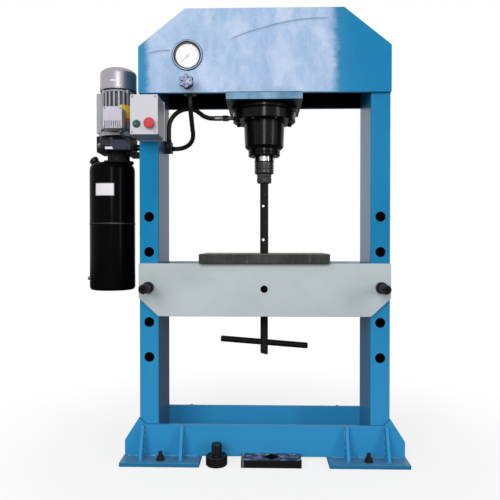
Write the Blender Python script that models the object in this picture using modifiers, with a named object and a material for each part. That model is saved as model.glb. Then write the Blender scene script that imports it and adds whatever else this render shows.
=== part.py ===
"""A floor-standing hydraulic shop press with an electric power pack.

Metres, +Z up. The frame is drawn around the ram: X = 0 and Y = 0 on the ram's axis, Y = 0
midway between the two faces of the posts, -Y towards the operator. At the end everything
hangs on one empty, which puts the middle of the footprint at the origin.
"""

import math

import bmesh
import bpy
from mathutils import Euler, Matrix, Vector

# Clearances.
GAP = 0.0003  # between pieces that touch
SLIDE_FIT = 0.0008  # all round, between pieces that turn or slide in each other
HOLE_FIT = 0.002  # all round, where a pin or a pipe goes loosely through a plate
OVERCUT = 0.010  # how far a cutter sticks out of what it cuts
OVERLAP = 0.002  # how deep welded shapes run into each other

# Facets of round shapes. Multiples of four, so that nested ones line up.
FINE = 32
ROUND = 20
MEDIUM = 16
SMALL = 12
HEX = 6

# Frame.
FRAME_WIDTH = 0.996
POST_WIDTH = 0.078
POST_DEPTH = 0.250
POST_WALL = 0.008
BAY_WIDTH = FRAME_WIDTH - 2 * POST_WIDTH
POST_X = (FRAME_WIDTH - POST_WIDTH) / 2
POST_HALF_DEPTH = POST_DEPTH / 2
PIN_HOLE = 0.040
HOLE_PITCH = 0.140
HOLE_COUNT = 5
LOWEST_HOLE = 0.407
BOLSTER_STOP = 2  # the hole, counted from the lowest, that carries the bolster

# Crosshead.
CROSSHEAD_BOTTOM = 1.454
CROSSHEAD_HEIGHT = 0.332
CROSSHEAD_TOP = CROSSHEAD_BOTTOM + CROSSHEAD_HEIGHT
CROSSHEAD_PLATE = 0.016
SHOULDER_RUN = 0.185
SHOULDER_DROP = 0.148
COVER_PLATE = 0.012
SHOULDER_Z = CROSSHEAD_TOP - SHOULDER_DROP
SHOULDER_ANGLE = math.atan(SHOULDER_DROP / SHOULDER_RUN)
PLATE_Y = POST_HALF_DEPTH + GAP + CROSSHEAD_PLATE / 2
PLATE_FACE_Y = POST_HALF_DEPTH + GAP + CROSSHEAD_PLATE

# Cylinder.
MOUNT_WIDTH = 0.300
MOUNT_DEPTH = 0.322
MOUNT_PLATE = 0.030
MOUNT_TOP = CROSSHEAD_BOTTOM - GAP
MOUNT_BOTTOM = MOUNT_TOP - MOUNT_PLATE
BARREL_TOP_RADIUS = 0.084
BARREL_END_RADIUS = 0.0805
BARREL_LENGTH_UNDER = 0.172
BARREL_LENGTH_OVER = 0.246
BARREL_END_CAP = 0.022
BORE_RADIUS = 0.064
FLANGE_RADIUS = 0.136
FLANGE_DEPTH = 0.015
GROOVE_RADIUS = 0.125
GROOVE_DEPTH = 0.005
COLLAR_RADIUS = 0.130
COLLAR_DEPTH = 0.038
BARREL_TOP = MOUNT_TOP + BARREL_LENGTH_OVER
FLANGE_TOP = MOUNT_BOTTOM - GAP
BARREL_BOTTOM = FLANGE_TOP - BARREL_LENGTH_UNDER
COLLAR_TOP = FLANGE_TOP - FLANGE_DEPTH - GROOVE_DEPTH
PORT_Z = COLLAR_TOP - COLLAR_DEPTH / 2
PORT_BORE = 0.0088
GLAND_RADIUS = 0.0633
GLAND_DEPTH = 0.029
GLAND_SPIGOT = 0.036
GLAND_BOTTOM = BARREL_BOTTOM - GAP - GLAND_DEPTH
CRADLE_WEB = 0.012
CRADLE_HALF = MOUNT_WIDTH / 2
CRADLE_BRIDGE = 0.016
CRADLE_BRIDGE_Z = 1.640

# Ram, rod and bar.
RAM_RADIUS = 0.042
RAM_SHOWING = 0.022
RAM_BOTTOM = GLAND_BOTTOM - RAM_SHOWING
PISTON_DEPTH = 0.050
PISTON_TOP = BARREL_TOP - BARREL_END_CAP - 0.030
RAM_COLLAR_RADIUS = 0.0398
RAM_COLLAR_DEPTH = 0.049
ROD_NUT_RADIUS = 0.0300
ROD_NUT_DEPTH = 0.038
ROD_RADIUS = 0.0172
ROD_TAIL_RADIUS = 0.0157
ROD_HEAD_RADIUS = 0.0225
ROD_HEAD_DEPTH = 0.012
ROD_STEP_Z = 0.640
ROD_BOTTOM = 0.396
ROD_SLANT = math.radians(13)
ROD_CROSS_HOLE = 0.0055
ROD_CROSS_HOLE_X = -0.004
ROD_CROSS_HOLES = (1.0175, 0.8765)
BAR_RADIUS = 0.0125
BAR_LENGTH = 0.365
BAR_Z = 0.4475
BAR_TILT = math.radians(4.5)
RAM_COLLAR_TOP = RAM_BOTTOM - GAP
RAM_COLLAR_BOTTOM = RAM_COLLAR_TOP - RAM_COLLAR_DEPTH
ROD_NUT_TOP = RAM_COLLAR_BOTTOM - GAP
ROD_NUT_BOTTOM = ROD_NUT_TOP - ROD_NUT_DEPTH
ROD_TOP = ROD_NUT_TOP + ROD_HEAD_DEPTH + GAP
BAR_BORE = (BAR_RADIUS / math.cos(BAR_TILT) + ROD_TAIL_RADIUS * math.tan(BAR_TILT)) * 1.03

# Bolster and table.
BOLSTER_PLATE = 0.016
BOLSTER_TOP = 0.782
BOLSTER_HEIGHT = 0.210
BOLSTER_CUT_RUN = 0.078
BOLSTER_CUT_RISE = 0.073
BOLSTER_BORE = 0.0145
BOLSTER_BORE_Z = 0.680
BOLSTER_WEB = 0.012
BOLSTER_WEB_X = 0.205
BOLSTER_WEB_DEPTH = 0.190
TABLE_LENGTH = 0.515
TABLE_DEPTH = 0.322
TABLE_PLATE = 0.037
TABLE_BORE = 0.030
TABLE_CHAMFER = 0.002
TABLE_Z = BOLSTER_TOP + GAP + TABLE_PLATE / 2

# Pins.
PIN_RADIUS = 0.0178
PIN_COLLAR_RADIUS = 0.0225
PIN_COLLAR_DEPTH = 0.023
PIN_GRIP = 0.105
PIN_TAIL = 0.012

# Base.
FOOT_PLATE = 0.016
FOOT_INNER = 0.250
FOOT_OUTER = 0.560
FOOT_STEP = 0.090  # the foot plate in front of the post, and behind it
FOOT_DEPTH = POST_DEPTH + 2 * FOOT_STEP
BEAM_PLATE = 0.014
BEAM_TOP = 0.141
BEAM_HALF = 0.555
EAR_LOW_Z = 0.079
EAR_HIGH_Z = 0.168
RIB_PLATE = 0.012
RIB_REACH = 0.060
RIB_NOSE = 0.010
RIB_PLACES = (0.325, 0.481)
ANCHOR_X = 0.405
ANCHOR_STEP = 0.055
ANCHOR_Y = POST_HALF_DEPTH + ANCHOR_STEP
ANCHOR_RADIUS = 0.008
ANCHOR_STAND = 0.033
ANCHOR_NUT_RADIUS = 0.0139
ANCHOR_NUT_DEPTH = 0.013
ANCHOR_WASHER_RADIUS = 0.017
ANCHOR_WASHER_DEPTH = 0.003
FLOOR_PLATE_TOP = FOOT_PLATE + GAP
BEAM_Y = POST_HALF_DEPTH + GAP + BEAM_PLATE / 2
BEAM_FACE_Y = POST_HALF_DEPTH + GAP + BEAM_PLATE

# Gauge, let into the crosshead's front plate.
GAUGE_X = -0.303
GAUGE_Z = 1.602
GAUGE_FLANGE_RADIUS = 0.0610
GAUGE_FLANGE_DEPTH = 0.006
GAUGE_BODY_RADIUS = 0.0560
GAUGE_OPENING_RADIUS = 0.0525
GAUGE_RECESS = 0.012
GAUGE_BODY_DEPTH = 0.046
GAUGE_GLASS = 0.002
GAUGE_GLASS_SET = 0.003
GAUGE_STEM_RADIUS = 0.007
NEEDLE_LENGTH = 0.037
NEEDLE_TAIL = 0.012
NEEDLE_PLATE = 0.001
NEEDLE_HUB_RADIUS = 0.005
NEEDLE_START = math.radians(225)

# Release valve under the gauge.
VALVE_X = -0.300
VALVE_Z = 1.485
VALVE_BLOCK = 0.050
VALVE_BLOCK_DEPTH = 0.060
VALVE_NOSE_RADIUS = 0.0140
VALVE_NOSE = 0.012
VALVE_SPINDLE_RADIUS = 0.0050
VALVE_SPINDLE_IN = 0.030
VALVE_WHEEL_RADIUS = 0.0265
VALVE_WHEEL_WAVE = 0.0030
VALVE_WHEEL_DEPTH = 0.022
VALVE_WHEEL_STAND = 0.038
VALVE_LOBES = 6
VALVE_LOBE_HOLE = 0.0026
VALVE_LOBE_HOLE_PLACE = 0.0165

# Control box on the left post.
BOX_WIDTH = 0.1055
BOX_HEIGHT = 0.150
BOX_OVERHANG = 0.005  # past the left post's outer face
BOX_LEFT = -(FRAME_WIDTH / 2 + BOX_OVERHANG)
BOX_BOTTOM = 1.2695
BOX_BASE_DEPTH = 0.059
BOX_LID_DEPTH = 0.073
BOX_WALL = 0.004
BOX_CORNER = 0.006
BUTTON_Z = 1.309
START_IN = 0.025
STOP_IN = 0.0755
START_X = BOX_LEFT + START_IN
STOP_X = BOX_LEFT + STOP_IN
BUTTON_BORE = 0.0113
BUTTON_BEZEL_RADIUS = 0.0150
BUTTON_BEZEL = 0.003
BUTTON_STEM_RADIUS = BUTTON_BORE - SLIDE_FIT
BUTTON_STEM_IN = 0.020
START_PROUD = 0.003
STOP_NECK = 0.0085
STOP_HEAD_RADIUS = 0.0200
STOP_HEAD_DEPTH = 0.014

# Power pack beside the left post: pump motor above, tank below.
PACK_OUT = 0.114  # from the left post's outer face to the motor's middle
PACK_X = -(FRAME_WIDTH / 2 + PACK_OUT)
MANIFOLD_TO_LEFT = 0.078
MANIFOLD_TO_RIGHT = 0.067
MANIFOLD_LEFT = PACK_X - MANIFOLD_TO_LEFT
MANIFOLD_RIGHT = PACK_X + MANIFOLD_TO_RIGHT
MANIFOLD_HALF_DEPTH = 0.055
MANIFOLD_BOTTOM = 1.236
MANIFOLD_TOP = 1.302
NECK_RADIUS = 0.046
NECK_DEPTH = 0.040
SHAFT_RADIUS = 0.0070
SHAFT_BORE = SHAFT_RADIUS + SLIDE_FIT
MOTOR_FLANGE_RADIUS = 0.080
MOTOR_FLANGE_DEPTH = 0.024
MOTOR_HEIGHT = 0.193
MOTOR_CORE_RADIUS = 0.0665
MOTOR_FIN_RADIUS = 0.0745
MOTOR_FINS = 32
MOTOR_FIN_SHARE = 0.36
MOTOR_INSIDE_RADIUS = 0.0450
MOTOR_SHIELD = 0.012
MOTOR_PAD_REACH = 0.082
MOTOR_PAD_HALF = 0.040
ROTOR_RADIUS = MOTOR_INSIDE_RADIUS - 2 * SLIDE_FIT
ROTOR_DEPTH = 0.100
COWL_RADIUS = 0.0755
COWL_SIDE = 0.068
COWL_DOME = 0.029
COWL_WALL = 0.0015
FAN_RADIUS = 0.060
FAN_HUB_RADIUS = 0.018
FAN_BLADES = 6
FAN_BLADE = 0.003
FAN_DEPTH = 0.026
FAN_LIFT = 0.016
TERMINAL_TO_LEFT = 0.025
TERMINAL_TO_RIGHT = 0.052
TERMINAL_LEFT = PACK_X - TERMINAL_TO_LEFT
TERMINAL_RIGHT = PACK_X + TERMINAL_TO_RIGHT
TERMINAL_FRONT = -0.150
TERMINAL_BACK = -0.0815
TERMINAL_BOTTOM = 1.316
TERMINAL_TOP = 1.402
TERMINAL_CORNER = 0.005
TERMINAL_SEAT_HALF = 0.018
MOTOR_FLANGE_BOTTOM = MANIFOLD_TOP + GAP
MOTOR_FRAME_TOP = MOTOR_FLANGE_BOTTOM + MOTOR_HEIGHT

# Solenoid valve on the front of the manifold.
SOLENOID_TO_LEFT = 0.065
SOLENOID_TO_SPLIT = 0.008
SOLENOID_TO_RIGHT = 0.075
SOLENOID_LEFT = PACK_X - SOLENOID_TO_LEFT
SOLENOID_SPLIT = PACK_X - SOLENOID_TO_SPLIT
SOLENOID_RIGHT = PACK_X + SOLENOID_TO_RIGHT
SOLENOID_Z = 1.259
SOLENOID_DEPTH = 0.052
SOLENOID_HALF = 0.0205
SOLENOID_COIL_RADIUS = 0.0215
SOLENOID_Y = -(MANIFOLD_HALF_DEPTH + GAP + SOLENOID_DEPTH / 2)

# Gear pump, hanging from the manifold's neck inside the tank.
PUMP_RADIUS = 0.040
PUMP_DEPTH = 0.100
PUMP_POCKET_DEPTH = 0.020
PUMP_FLOOR = 0.030
PUMP_DRAIN = 0.006
GEAR_TEETH = 10
GEAR_WAVE = 0.0010
GEAR_MEAN_RADIUS = 0.0115
GEAR_SPACING = 0.0242
GEAR_DEPTH = 0.018
GEAR_STUB_RADIUS = 0.005
GEAR_STUB = 0.014

# Tank.
TANK_SHIFT = 0.027
TANK_X = PACK_X - TANK_SHIFT
TANK_RADIUS = 0.0935
TANK_TOP = MANIFOLD_BOTTOM - NECK_DEPTH
TANK_BOTTOM = 0.667
TANK_WALL = 0.003
TANK_FLAT = 0.076
TANK_SHOULDER = 0.026
TANK_FOOT = 0.014
TANK_SEAM_Z = 0.943
TANK_SEAM = 0.0012
TANK_STEPS = 3
TANK_MOUTH = PUMP_RADIUS + HOLE_FIT
FILLER_TILT = math.radians(43)
FILLER_OUT = 0.054
FILLER_FOOT = (TANK_X - FILLER_OUT, 0.0, 1.1840)
FILLER_RADIUS = 0.0150
FILLER_BORE = 0.0110
FILLER_LENGTH = 0.0275
CAP_RADIUS = 0.0195
CAP_HEIGHT = 0.018
CAP_SPIGOT = 0.010
DRAIN_Z = 0.715
DRAIN_RADIUS = 0.0060
DRAIN_HEAD_RADIUS = 0.0100
DRAIN_HEAD = 0.011
DRAIN_SPIGOT = 0.005

# Bracket between the left post and the power pack.
BRACKET_PLATE = 0.008
BRACKET_BOTTOM = 1.205
BRACKET_TOP = 1.296
BRACKET_HALF_DEPTH = 0.060
BRACKET_SHELF = 0.010
BRACKET_REACH = 0.020

# Hoses, and the block on the left post that they start from.
HOSE_DIAMETER = 0.019
BLOCK_REACH = 0.027
BLOCK_Y = (0.008, 0.062)
BLOCK_Z = (1.246, 1.292)
PIPE_RADIUS = 0.0065
PIPE_PLACES = ((0.022, 1.260), (0.048, 1.278))
NIPPLE_RADIUS = 0.0090
NIPPLE = 0.014
RISER_IN = 0.0145  # from the left post's inner face
RISER_PLACE = (-BAY_WIDTH / 2 + RISER_IN, 0.035)
BRANCH_PLACE = (0.050, 1.266)
BLOCK_FACE_X = -BAY_WIDTH / 2 + GAP + BLOCK_REACH
FERRULE_LENGTH = 0.036
FERRULE_RADIUS = 0.0108
PORT_NUT_LENGTH = 0.020
PORT_NUT_RADIUS = 0.0130
PORT_NIPPLE = 0.022
PORT_NIPPLE_IN = 0.012
FERRULE_END = -(COLLAR_RADIUS + PORT_NIPPLE + PORT_NUT_LENGTH + FERRULE_LENGTH)
VALVE_INLET = (-0.298, -0.095)
HOSE_TO_CYLINDER = (
    (RISER_PLACE[0], RISER_PLACE[1], BLOCK_Z[1] + NIPPLE + GAP),
    (RISER_PLACE[0], RISER_PLACE[1], 1.3280),
    (-0.4055, 0.0350, 1.3500),
    (-0.4007, 0.0347, 1.3774),
    (-0.3868, 0.0338, 1.4014),
    (-0.3655, 0.0312, 1.4193),
    (-0.3394, 0.0262, 1.4288),
    (-0.3116, 0.0195, 1.4288),
    (-0.2879, 0.0132, 1.4206),
    (-0.2695, 0.0083, 1.4072),
    (-0.2535, 0.0044, 1.3951),
    (-0.2342, 0.0012, 1.3871),
    (-0.2150, 0.0000, PORT_Z),
    (FERRULE_END - GAP, 0.0, PORT_Z),
)
HOSE_TO_VALVE = (
    (BLOCK_FACE_X + NIPPLE + GAP, BRANCH_PLACE[0], BRANCH_PLACE[1]),
    (-0.3710, BRANCH_PLACE[0], BRANCH_PLACE[1]),
    (-0.3437, 0.0460, 1.2705),
    (-0.3197, 0.0347, 1.2813),
    (-0.3036, 0.0177, 1.2983),
    (-0.2980, -0.0023, 1.3183),
    (-0.2980, -0.0200, 1.3360),
    (-0.2980, -0.0378, 1.3538),
    (-0.2980, -0.0556, 1.3716),
    (-0.2980, -0.0733, 1.3893),
    (-0.2980, -0.0893, 1.4133),
    (VALVE_INLET[0], VALVE_INLET[1], 1.4440),
    (VALVE_INLET[0], VALVE_INLET[1], VALVE_Z - VALVE_BLOCK / 2 - GAP),
)
CABLE_DIAMETER = 0.008
CABLE_GLAND_OUT = 0.040
CABLE_GLAND_X = PACK_X + CABLE_GLAND_OUT
CABLE_GLAND_Y = -0.125
CABLE_ENTRY_Y = -0.150
CABLE_ENTRY_Z = 1.2805
MOTOR_CABLE = (
    (CABLE_GLAND_X, CABLE_GLAND_Y, TERMINAL_BOTTOM - GAP),
    (CABLE_GLAND_X, CABLE_GLAND_Y, 1.3125),
    (-0.5699, -0.1262, 1.3003),
    (-0.5639, -0.1297, 1.2899),
    (-0.5549, -0.1349, 1.2829),
    (-0.5443, -0.1410, 1.2805),
    (-0.5362, -0.1457, 1.2805),
    (-0.5285, -0.1489, 1.2805),
    (-0.5202, -0.1500, 1.2805),
    (-0.5120, CABLE_ENTRY_Y, CABLE_ENTRY_Z),
    (BOX_LEFT - GAP, CABLE_ENTRY_Y, CABLE_ENTRY_Z),
)

# Loose tools that stand on the floor in front of the base.
HEAD_X = -0.185
HEAD_RADIUS = 0.042
HEAD_Y = -(BEAM_FACE_Y + GAP + HEAD_RADIUS)
HEAD_DEPTH = 0.038
HEAD_SHANK_RADIUS = 0.020
HEAD_HEIGHT = 0.084
HEAD_CHAMFER = 0.002
BLOCK_LEFT = -0.089
BLOCK_RIGHT = 0.144
V_BLOCK_DEPTH = 0.0367
V_BLOCK_BACK = -(BEAM_FACE_Y + GAP)
V_BLOCK_HEIGHT = 0.031
V_NOTCH_X = 0.029
V_NOTCH_HALF = 0.0325
V_NOTCH_DEPTH = 0.030

# How a shape drawn along local +Z, or flat in local XY, is turned.
UPRIGHT = (0, 0, 0)
FRONTWARD = (math.pi / 2, 0, 0)
LEFTWARD = (0, -math.pi / 2, 0)
RIGHTWARD = (0, math.pi / 2, 0)
FLAT = (0, 0, 0)
FACING_FRONT = (math.pi / 2, 0, 0)
FACING_SIDE = (math.pi / 2, 0, math.pi / 2)

FINISHES = {
    "blue_paint": ((0.045, 0.265, 0.520), 0.38, 0.0),
    "grey_paint": ((0.470, 0.520, 0.540), 0.45, 0.0),
    "black_gloss": ((0.012, 0.012, 0.014), 0.18, 0.0),
    "dark_steel": ((0.050, 0.047, 0.045), 0.42, 0.8),
    "black_steel": ((0.018, 0.018, 0.020), 0.40, 0.6),
    "chrome": ((0.800, 0.800, 0.810), 0.08, 1.0),
    "bright_steel": ((0.560, 0.560, 0.570), 0.30, 1.0),
    "zinc": ((0.620, 0.600, 0.540), 0.32, 1.0),
    "cast_aluminium": ((0.560, 0.560, 0.580), 0.45, 0.6),
    "pale_plastic": ((0.640, 0.620, 0.650), 0.45, 0.0),
    "green_plastic": ((0.030, 0.180, 0.110), 0.35, 0.0),
    "red_plastic": ((0.700, 0.060, 0.080), 0.35, 0.0),
    "slate_plastic": ((0.060, 0.070, 0.110), 0.45, 0.0),
    "black_plastic": ((0.015, 0.015, 0.016), 0.45, 0.0),
    "rubber": ((0.014, 0.014, 0.014), 0.60, 0.0),
    "glass": ((0.900, 0.930, 0.950), 0.05, 0.0),
    "steel": ((0.350, 0.350, 0.360), 0.40, 1.0),
}


def clear_scene():
    for thing in list(bpy.data.objects):
        bpy.data.objects.remove(thing)


def new_collection(name):
    collection = bpy.data.collections.new(name)
    bpy.context.scene.collection.children.link(collection)
    return collection


clear_scene()
PARTS = new_collection("hydraulic_shop_press")
CUTTERS = new_collection("cutters")


# Shapes.


def add(name, mesh, middle=(0, 0, 0), turn=UPRIGHT):
    piece = bpy.data.objects.new(name, mesh)
    piece.location = middle
    piece.rotation_euler = turn
    PARTS.objects.link(piece)
    return piece


def mesh_of(name, shape, smooth=True):
    mesh = bpy.data.meshes.new(name)
    shape.to_mesh(mesh)
    shape.free()
    if smooth:
        mesh.shade_smooth()
        mesh.set_sharp_from_angle(angle=math.radians(35))
    return mesh


def box(name, x, y, z):
    """A box between two values on each axis."""
    limits = [sorted(pair) for pair in (x, y, z)]
    size = [high - low for low, high in limits]
    middle = [(high + low) / 2 for low, high in limits]
    shape = bmesh.new()
    bmesh.ops.create_cube(shape, size=1, matrix=Matrix.Diagonal((*size, 1)))
    return add(name, mesh_of(name, shape, smooth=False), middle)


def round_bar(name, radius, length, middle, turn=UPRIGHT, sides=ROUND):
    shape = bmesh.new()
    bmesh.ops.create_cone(
        shape, cap_ends=True, segments=sides, radius1=radius, radius2=radius, depth=length
    )
    return add(name, mesh_of(name, shape), middle, turn)


def turned(name, profile, middle=(0, 0, 0), turn=UPRIGHT, steps=ROUND, ring=False):
    """A turned shape from (radius, height) points, down its outer side. A ring's profile closes."""
    edges = [(i, i + 1) for i in range(len(profile) - 1)]
    if ring:
        edges.append((len(profile) - 1, 0))
    mesh = bpy.data.meshes.new(name)
    mesh.from_pydata([(radius, 0, height) for radius, height in profile], edges, [])
    piece = add(name, mesh, middle, turn)
    lathe = piece.modifiers.new("lathe", "SCREW")
    lathe.axis = "Z"
    lathe.angle = math.tau
    lathe.steps = steps
    lathe.render_steps = steps
    lathe.use_merge_vertices = True
    lathe.merge_threshold = 0.00001
    lathe.use_smooth_shade = True
    return piece


def circle(middle, radius, sides=ROUND):
    """Points of a circle in a flat outline."""
    angles = [math.tau * i / sides for i in range(sides)]
    return [(middle[0] + radius * math.cos(a), middle[1] + radius * math.sin(a)) for a in angles]


def mesh_from_curve(drawn, name):
    """A welded mesh object in place of a curve object."""
    bpy.context.view_layer.update()
    depsgraph = bpy.context.evaluated_depsgraph_get()
    mesh = bpy.data.meshes.new_from_object(drawn.evaluated_get(depsgraph))
    shape = bmesh.new()
    shape.from_mesh(mesh)
    bmesh.ops.remove_doubles(shape, verts=shape.verts, dist=0.000002)
    bpy.data.meshes.remove(mesh)
    piece = add(name, mesh_of(name, shape))
    piece.matrix_world = drawn.matrix_world
    bpy.data.objects.remove(drawn)
    return piece


def flat(name, outline, thickness, middle=(0, 0, 0), turn=FLAT, holes=()):
    """A flat shape with holes, cut from plate. middle is the centre of its thickness."""
    curve = bpy.data.curves.new(name + "_outline", "CURVE")
    curve.dimensions = "2D"
    curve.fill_mode = "BOTH"
    curve.extrude = thickness / 2
    for loop in (outline, *holes):
        spline = curve.splines.new("POLY")
        spline.points.add(len(loop) - 1)
        for point, (across, up) in zip(spline.points, loop):
            point.co = (across, up, 0, 1)
        spline.use_cyclic_u = True
    return mesh_from_curve(add(name + "_outline", curve, middle, turn), name)


def tube(name, route, diameter, steps_between, sides_detail=2):
    """A solid tube along a smooth curve through the points of its route."""
    points = smooth_route(route, steps_between)
    curve = bpy.data.curves.new(name, "CURVE")
    curve.dimensions = "3D"
    curve.bevel_depth = diameter / 2
    curve.bevel_resolution = sides_detail
    curve.use_fill_caps = True
    spline = curve.splines.new("POLY")
    spline.points.add(len(points) - 1)
    for point, place in zip(spline.points, points):
        point.co = (*place, 1)
    return add(name, curve)


def smooth_route(route, steps_between):
    """Points on a curve through each point of a route. Its first and last stretch are straight."""
    places = [Vector(p) for p in route]
    points = [places[0]]
    for i in range(1, len(places) - 2):
        for step in range(steps_between):
            points.append(curve_point(places[i - 1 : i + 3], step / steps_between))
    return [*points, places[-2], places[-1]]


def curve_point(four, share):
    """The point at a share of the way between the middle two of four points."""
    knots = [0.0]
    for before, after in zip(four, four[1:]):
        knots.append(knots[-1] + math.sqrt((after - before).length))
    at = knots[1] + share * (knots[2] - knots[1])

    def between(low, high, first, second):
        weight = (at - knots[low]) / (knots[high] - knots[low])
        return first.lerp(second, weight)

    a = between(0, 1, four[0], four[1])
    b = between(1, 2, four[1], four[2])
    c = between(2, 3, four[2], four[3])
    return between(1, 2, between(0, 2, a, b), between(1, 3, b, c))


def put_aside(tool):
    """Keeps a cutter or a joined shape out of the parts."""
    for collection in list(tool.users_collection):
        collection.objects.unlink(tool)
    CUTTERS.objects.link(tool)
    tool.display_type = "WIRE"
    tool.hide_render = True


def combine(piece, tool, operation):
    put_aside(tool)
    step = piece.modifiers.new(tool.name, "BOOLEAN")
    step.operation = operation
    step.solver = "EXACT"
    step.object = tool


def cut(piece, *tools):
    for tool in tools:
        combine(piece, tool, "DIFFERENCE")


def weld(piece, *tools):
    for tool in tools:
        combine(piece, tool, "UNION")


def bevel(piece, width, segments=1):
    edge = piece.modifiers.new("edges", "BEVEL")
    edge.width = width
    edge.segments = segments
    edge.limit_method = "ANGLE"
    edge.angle_limit = math.radians(60)
    return piece


def finish(piece, name):
    """Gives a piece its own material, with the values of a finish."""
    colour, roughness, metallic = FINISHES[name]
    material = bpy.data.materials.new(piece.name + "_" + name)
    material.use_nodes = True
    shader = material.node_tree.nodes["Principled BSDF"]
    shader.inputs["Base Color"].default_value = (*colour, 1)
    shader.inputs["Roughness"].default_value = roughness
    shader.inputs["Metallic"].default_value = metallic
    material.diffuse_color = (*colour, 1)
    piece.data.materials.append(material)
    return piece


# Frame.


def hole_heights():
    return [LOWEST_HOLE + i * HOLE_PITCH for i in range(HOLE_COUNT)]


def post_top():
    return SHOULDER_Z - COVER_PLATE / math.cos(SHOULDER_ANGLE) - GAP


def make_post(name, side):
    """A box section on its foot, open at both ends, with the row of pin holes."""
    x = side * POST_X
    half = POST_WIDTH / 2
    top = post_top()
    post = box(name, (x - half, x + half), (-POST_HALF_DEPTH, POST_HALF_DEPTH), (FLOOR_PLATE_TOP, top))
    inner = half - POST_WALL
    inner_depth = POST_HALF_DEPTH - POST_WALL
    hollow = (FLOOR_PLATE_TOP - OVERCUT, top + OVERCUT)
    cut(post, box(name + "_hollow", (x - inner, x + inner), (-inner_depth, inner_depth), hollow))
    for number, height in enumerate(hole_heights()):
        tool_name = f"{name}_pin_hole_{number}"
        length = POST_DEPTH + 2 * OVERCUT
        cut(post, round_bar(tool_name, PIN_HOLE / 2, length, (x, 0, height), FRONTWARD, MEDIUM))
    return finish(post, "blue_paint")


def cut_pipe_holes(piece, x, length):
    for number, (y, z) in enumerate(PIPE_PLACES):
        name = f"{piece.name}_pipe_hole_{number}"
        cut(piece, round_bar(name, PIPE_RADIUS + HOLE_FIT, length, (x, y, z), RIGHTWARD, SMALL))


def crosshead_outline():
    half = FRAME_WIDTH / 2
    return [
        (-half, CROSSHEAD_BOTTOM),
        (half, CROSSHEAD_BOTTOM),
        (half, SHOULDER_Z),
        (half - SHOULDER_RUN, CROSSHEAD_TOP),
        (-half + SHOULDER_RUN, CROSSHEAD_TOP),
        (-half, SHOULDER_Z),
    ]


def make_crosshead_front_plate():
    holes = [
        circle((GAUGE_X, GAUGE_Z), GAUGE_BODY_RADIUS + SLIDE_FIT, FINE),
        circle((VALVE_X, VALVE_Z), VALVE_NOSE_RADIUS + SLIDE_FIT, ROUND),
    ]
    name = "crosshead_front_plate"
    plate = flat(name, crosshead_outline(), CROSSHEAD_PLATE, (0, -PLATE_Y, 0), FACING_FRONT, holes)
    return finish(plate, "blue_paint")


def make_crosshead_back_plate():
    name = "crosshead_back_plate"
    plate = flat(name, crosshead_outline(), CROSSHEAD_PLATE, (0, PLATE_Y, 0), FACING_FRONT)
    return finish(plate, "blue_paint")


def make_crosshead_top_cover():
    """One bent strip over the shoulders and the top, between the two plates."""
    half = FRAME_WIDTH / 2
    top = CROSSHEAD_TOP
    under = top - COVER_PLATE
    drop = COVER_PLATE / math.cos(SHOULDER_ANGLE)
    bend = half - SHOULDER_RUN
    inner_bend = bend - COVER_PLATE * math.tan(SHOULDER_ANGLE / 2)
    outline = [
        (-half, SHOULDER_Z),
        (-half, SHOULDER_Z - drop),
        (-inner_bend, under),
        (inner_bend, under),
        (half, SHOULDER_Z - drop),
        (half, SHOULDER_Z),
        (bend, top),
        (-bend, top),
    ]
    cover = flat("crosshead_top_cover", outline, POST_DEPTH, (0, 0, 0), FACING_FRONT)
    return finish(cover, "blue_paint")


def make_crosshead_cradle():
    """Two upright webs over the cylinder plate, bridged by the plate that steadies the barrel."""
    low = MOUNT_TOP + GAP
    high = CROSSHEAD_TOP - COVER_PLATE - GAP
    outer = CRADLE_HALF
    inner = outer - CRADLE_WEB
    under = CRADLE_BRIDGE_Z
    over = under + CRADLE_BRIDGE
    outline = [
        (-outer, low),
        (-inner, low),
        (-inner, under),
        (inner, under),
        (inner, low),
        (outer, low),
        (outer, high),
        (inner, high),
        (inner, over),
        (-inner, over),
        (-inner, high),
        (-outer, high),
    ]
    cradle = flat("crosshead_cradle", outline, POST_DEPTH, (0, 0, 0), FACING_FRONT)
    bore = BARREL_TOP_RADIUS + SLIDE_FIT
    length = CRADLE_BRIDGE + 2 * OVERCUT
    middle = (0, 0, under + CRADLE_BRIDGE / 2)
    cut(cradle, round_bar("crosshead_cradle_bore", bore, length, middle, UPRIGHT, FINE))
    return finish(cradle, "blue_paint")


def rectangle(left, right, low, high):
    return [(left, low), (right, low), (right, high), (left, high)]


def make_cylinder_mount_plate():
    outline = rectangle(-MOUNT_WIDTH / 2, MOUNT_WIDTH / 2, -MOUNT_DEPTH / 2, MOUNT_DEPTH / 2)
    bore = circle((0, 0), BARREL_TOP_RADIUS + SLIDE_FIT, FINE)
    middle = (0, 0, MOUNT_TOP - MOUNT_PLATE / 2)
    plate = flat("cylinder_mount_plate", outline, MOUNT_PLATE, middle, FLAT, [bore])
    return finish(plate, "blue_paint")


def make_base_beam(name, side):
    """A long plate on edge, with an ear that rises against each post."""
    half = FRAME_WIDTH / 2
    right = [
        (BEAM_HALF, FLOOR_PLATE_TOP),
        (BEAM_HALF, EAR_LOW_Z),
        (half, EAR_HIGH_Z),
        (half - POST_WIDTH / 3, BEAM_TOP),
    ]
    left = [(-x, z) for x, z in reversed(right)]
    beam = flat(name, right + left, BEAM_PLATE, (0, side * BEAM_Y, 0), FACING_FRONT)
    return finish(beam, "blue_paint")


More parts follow.
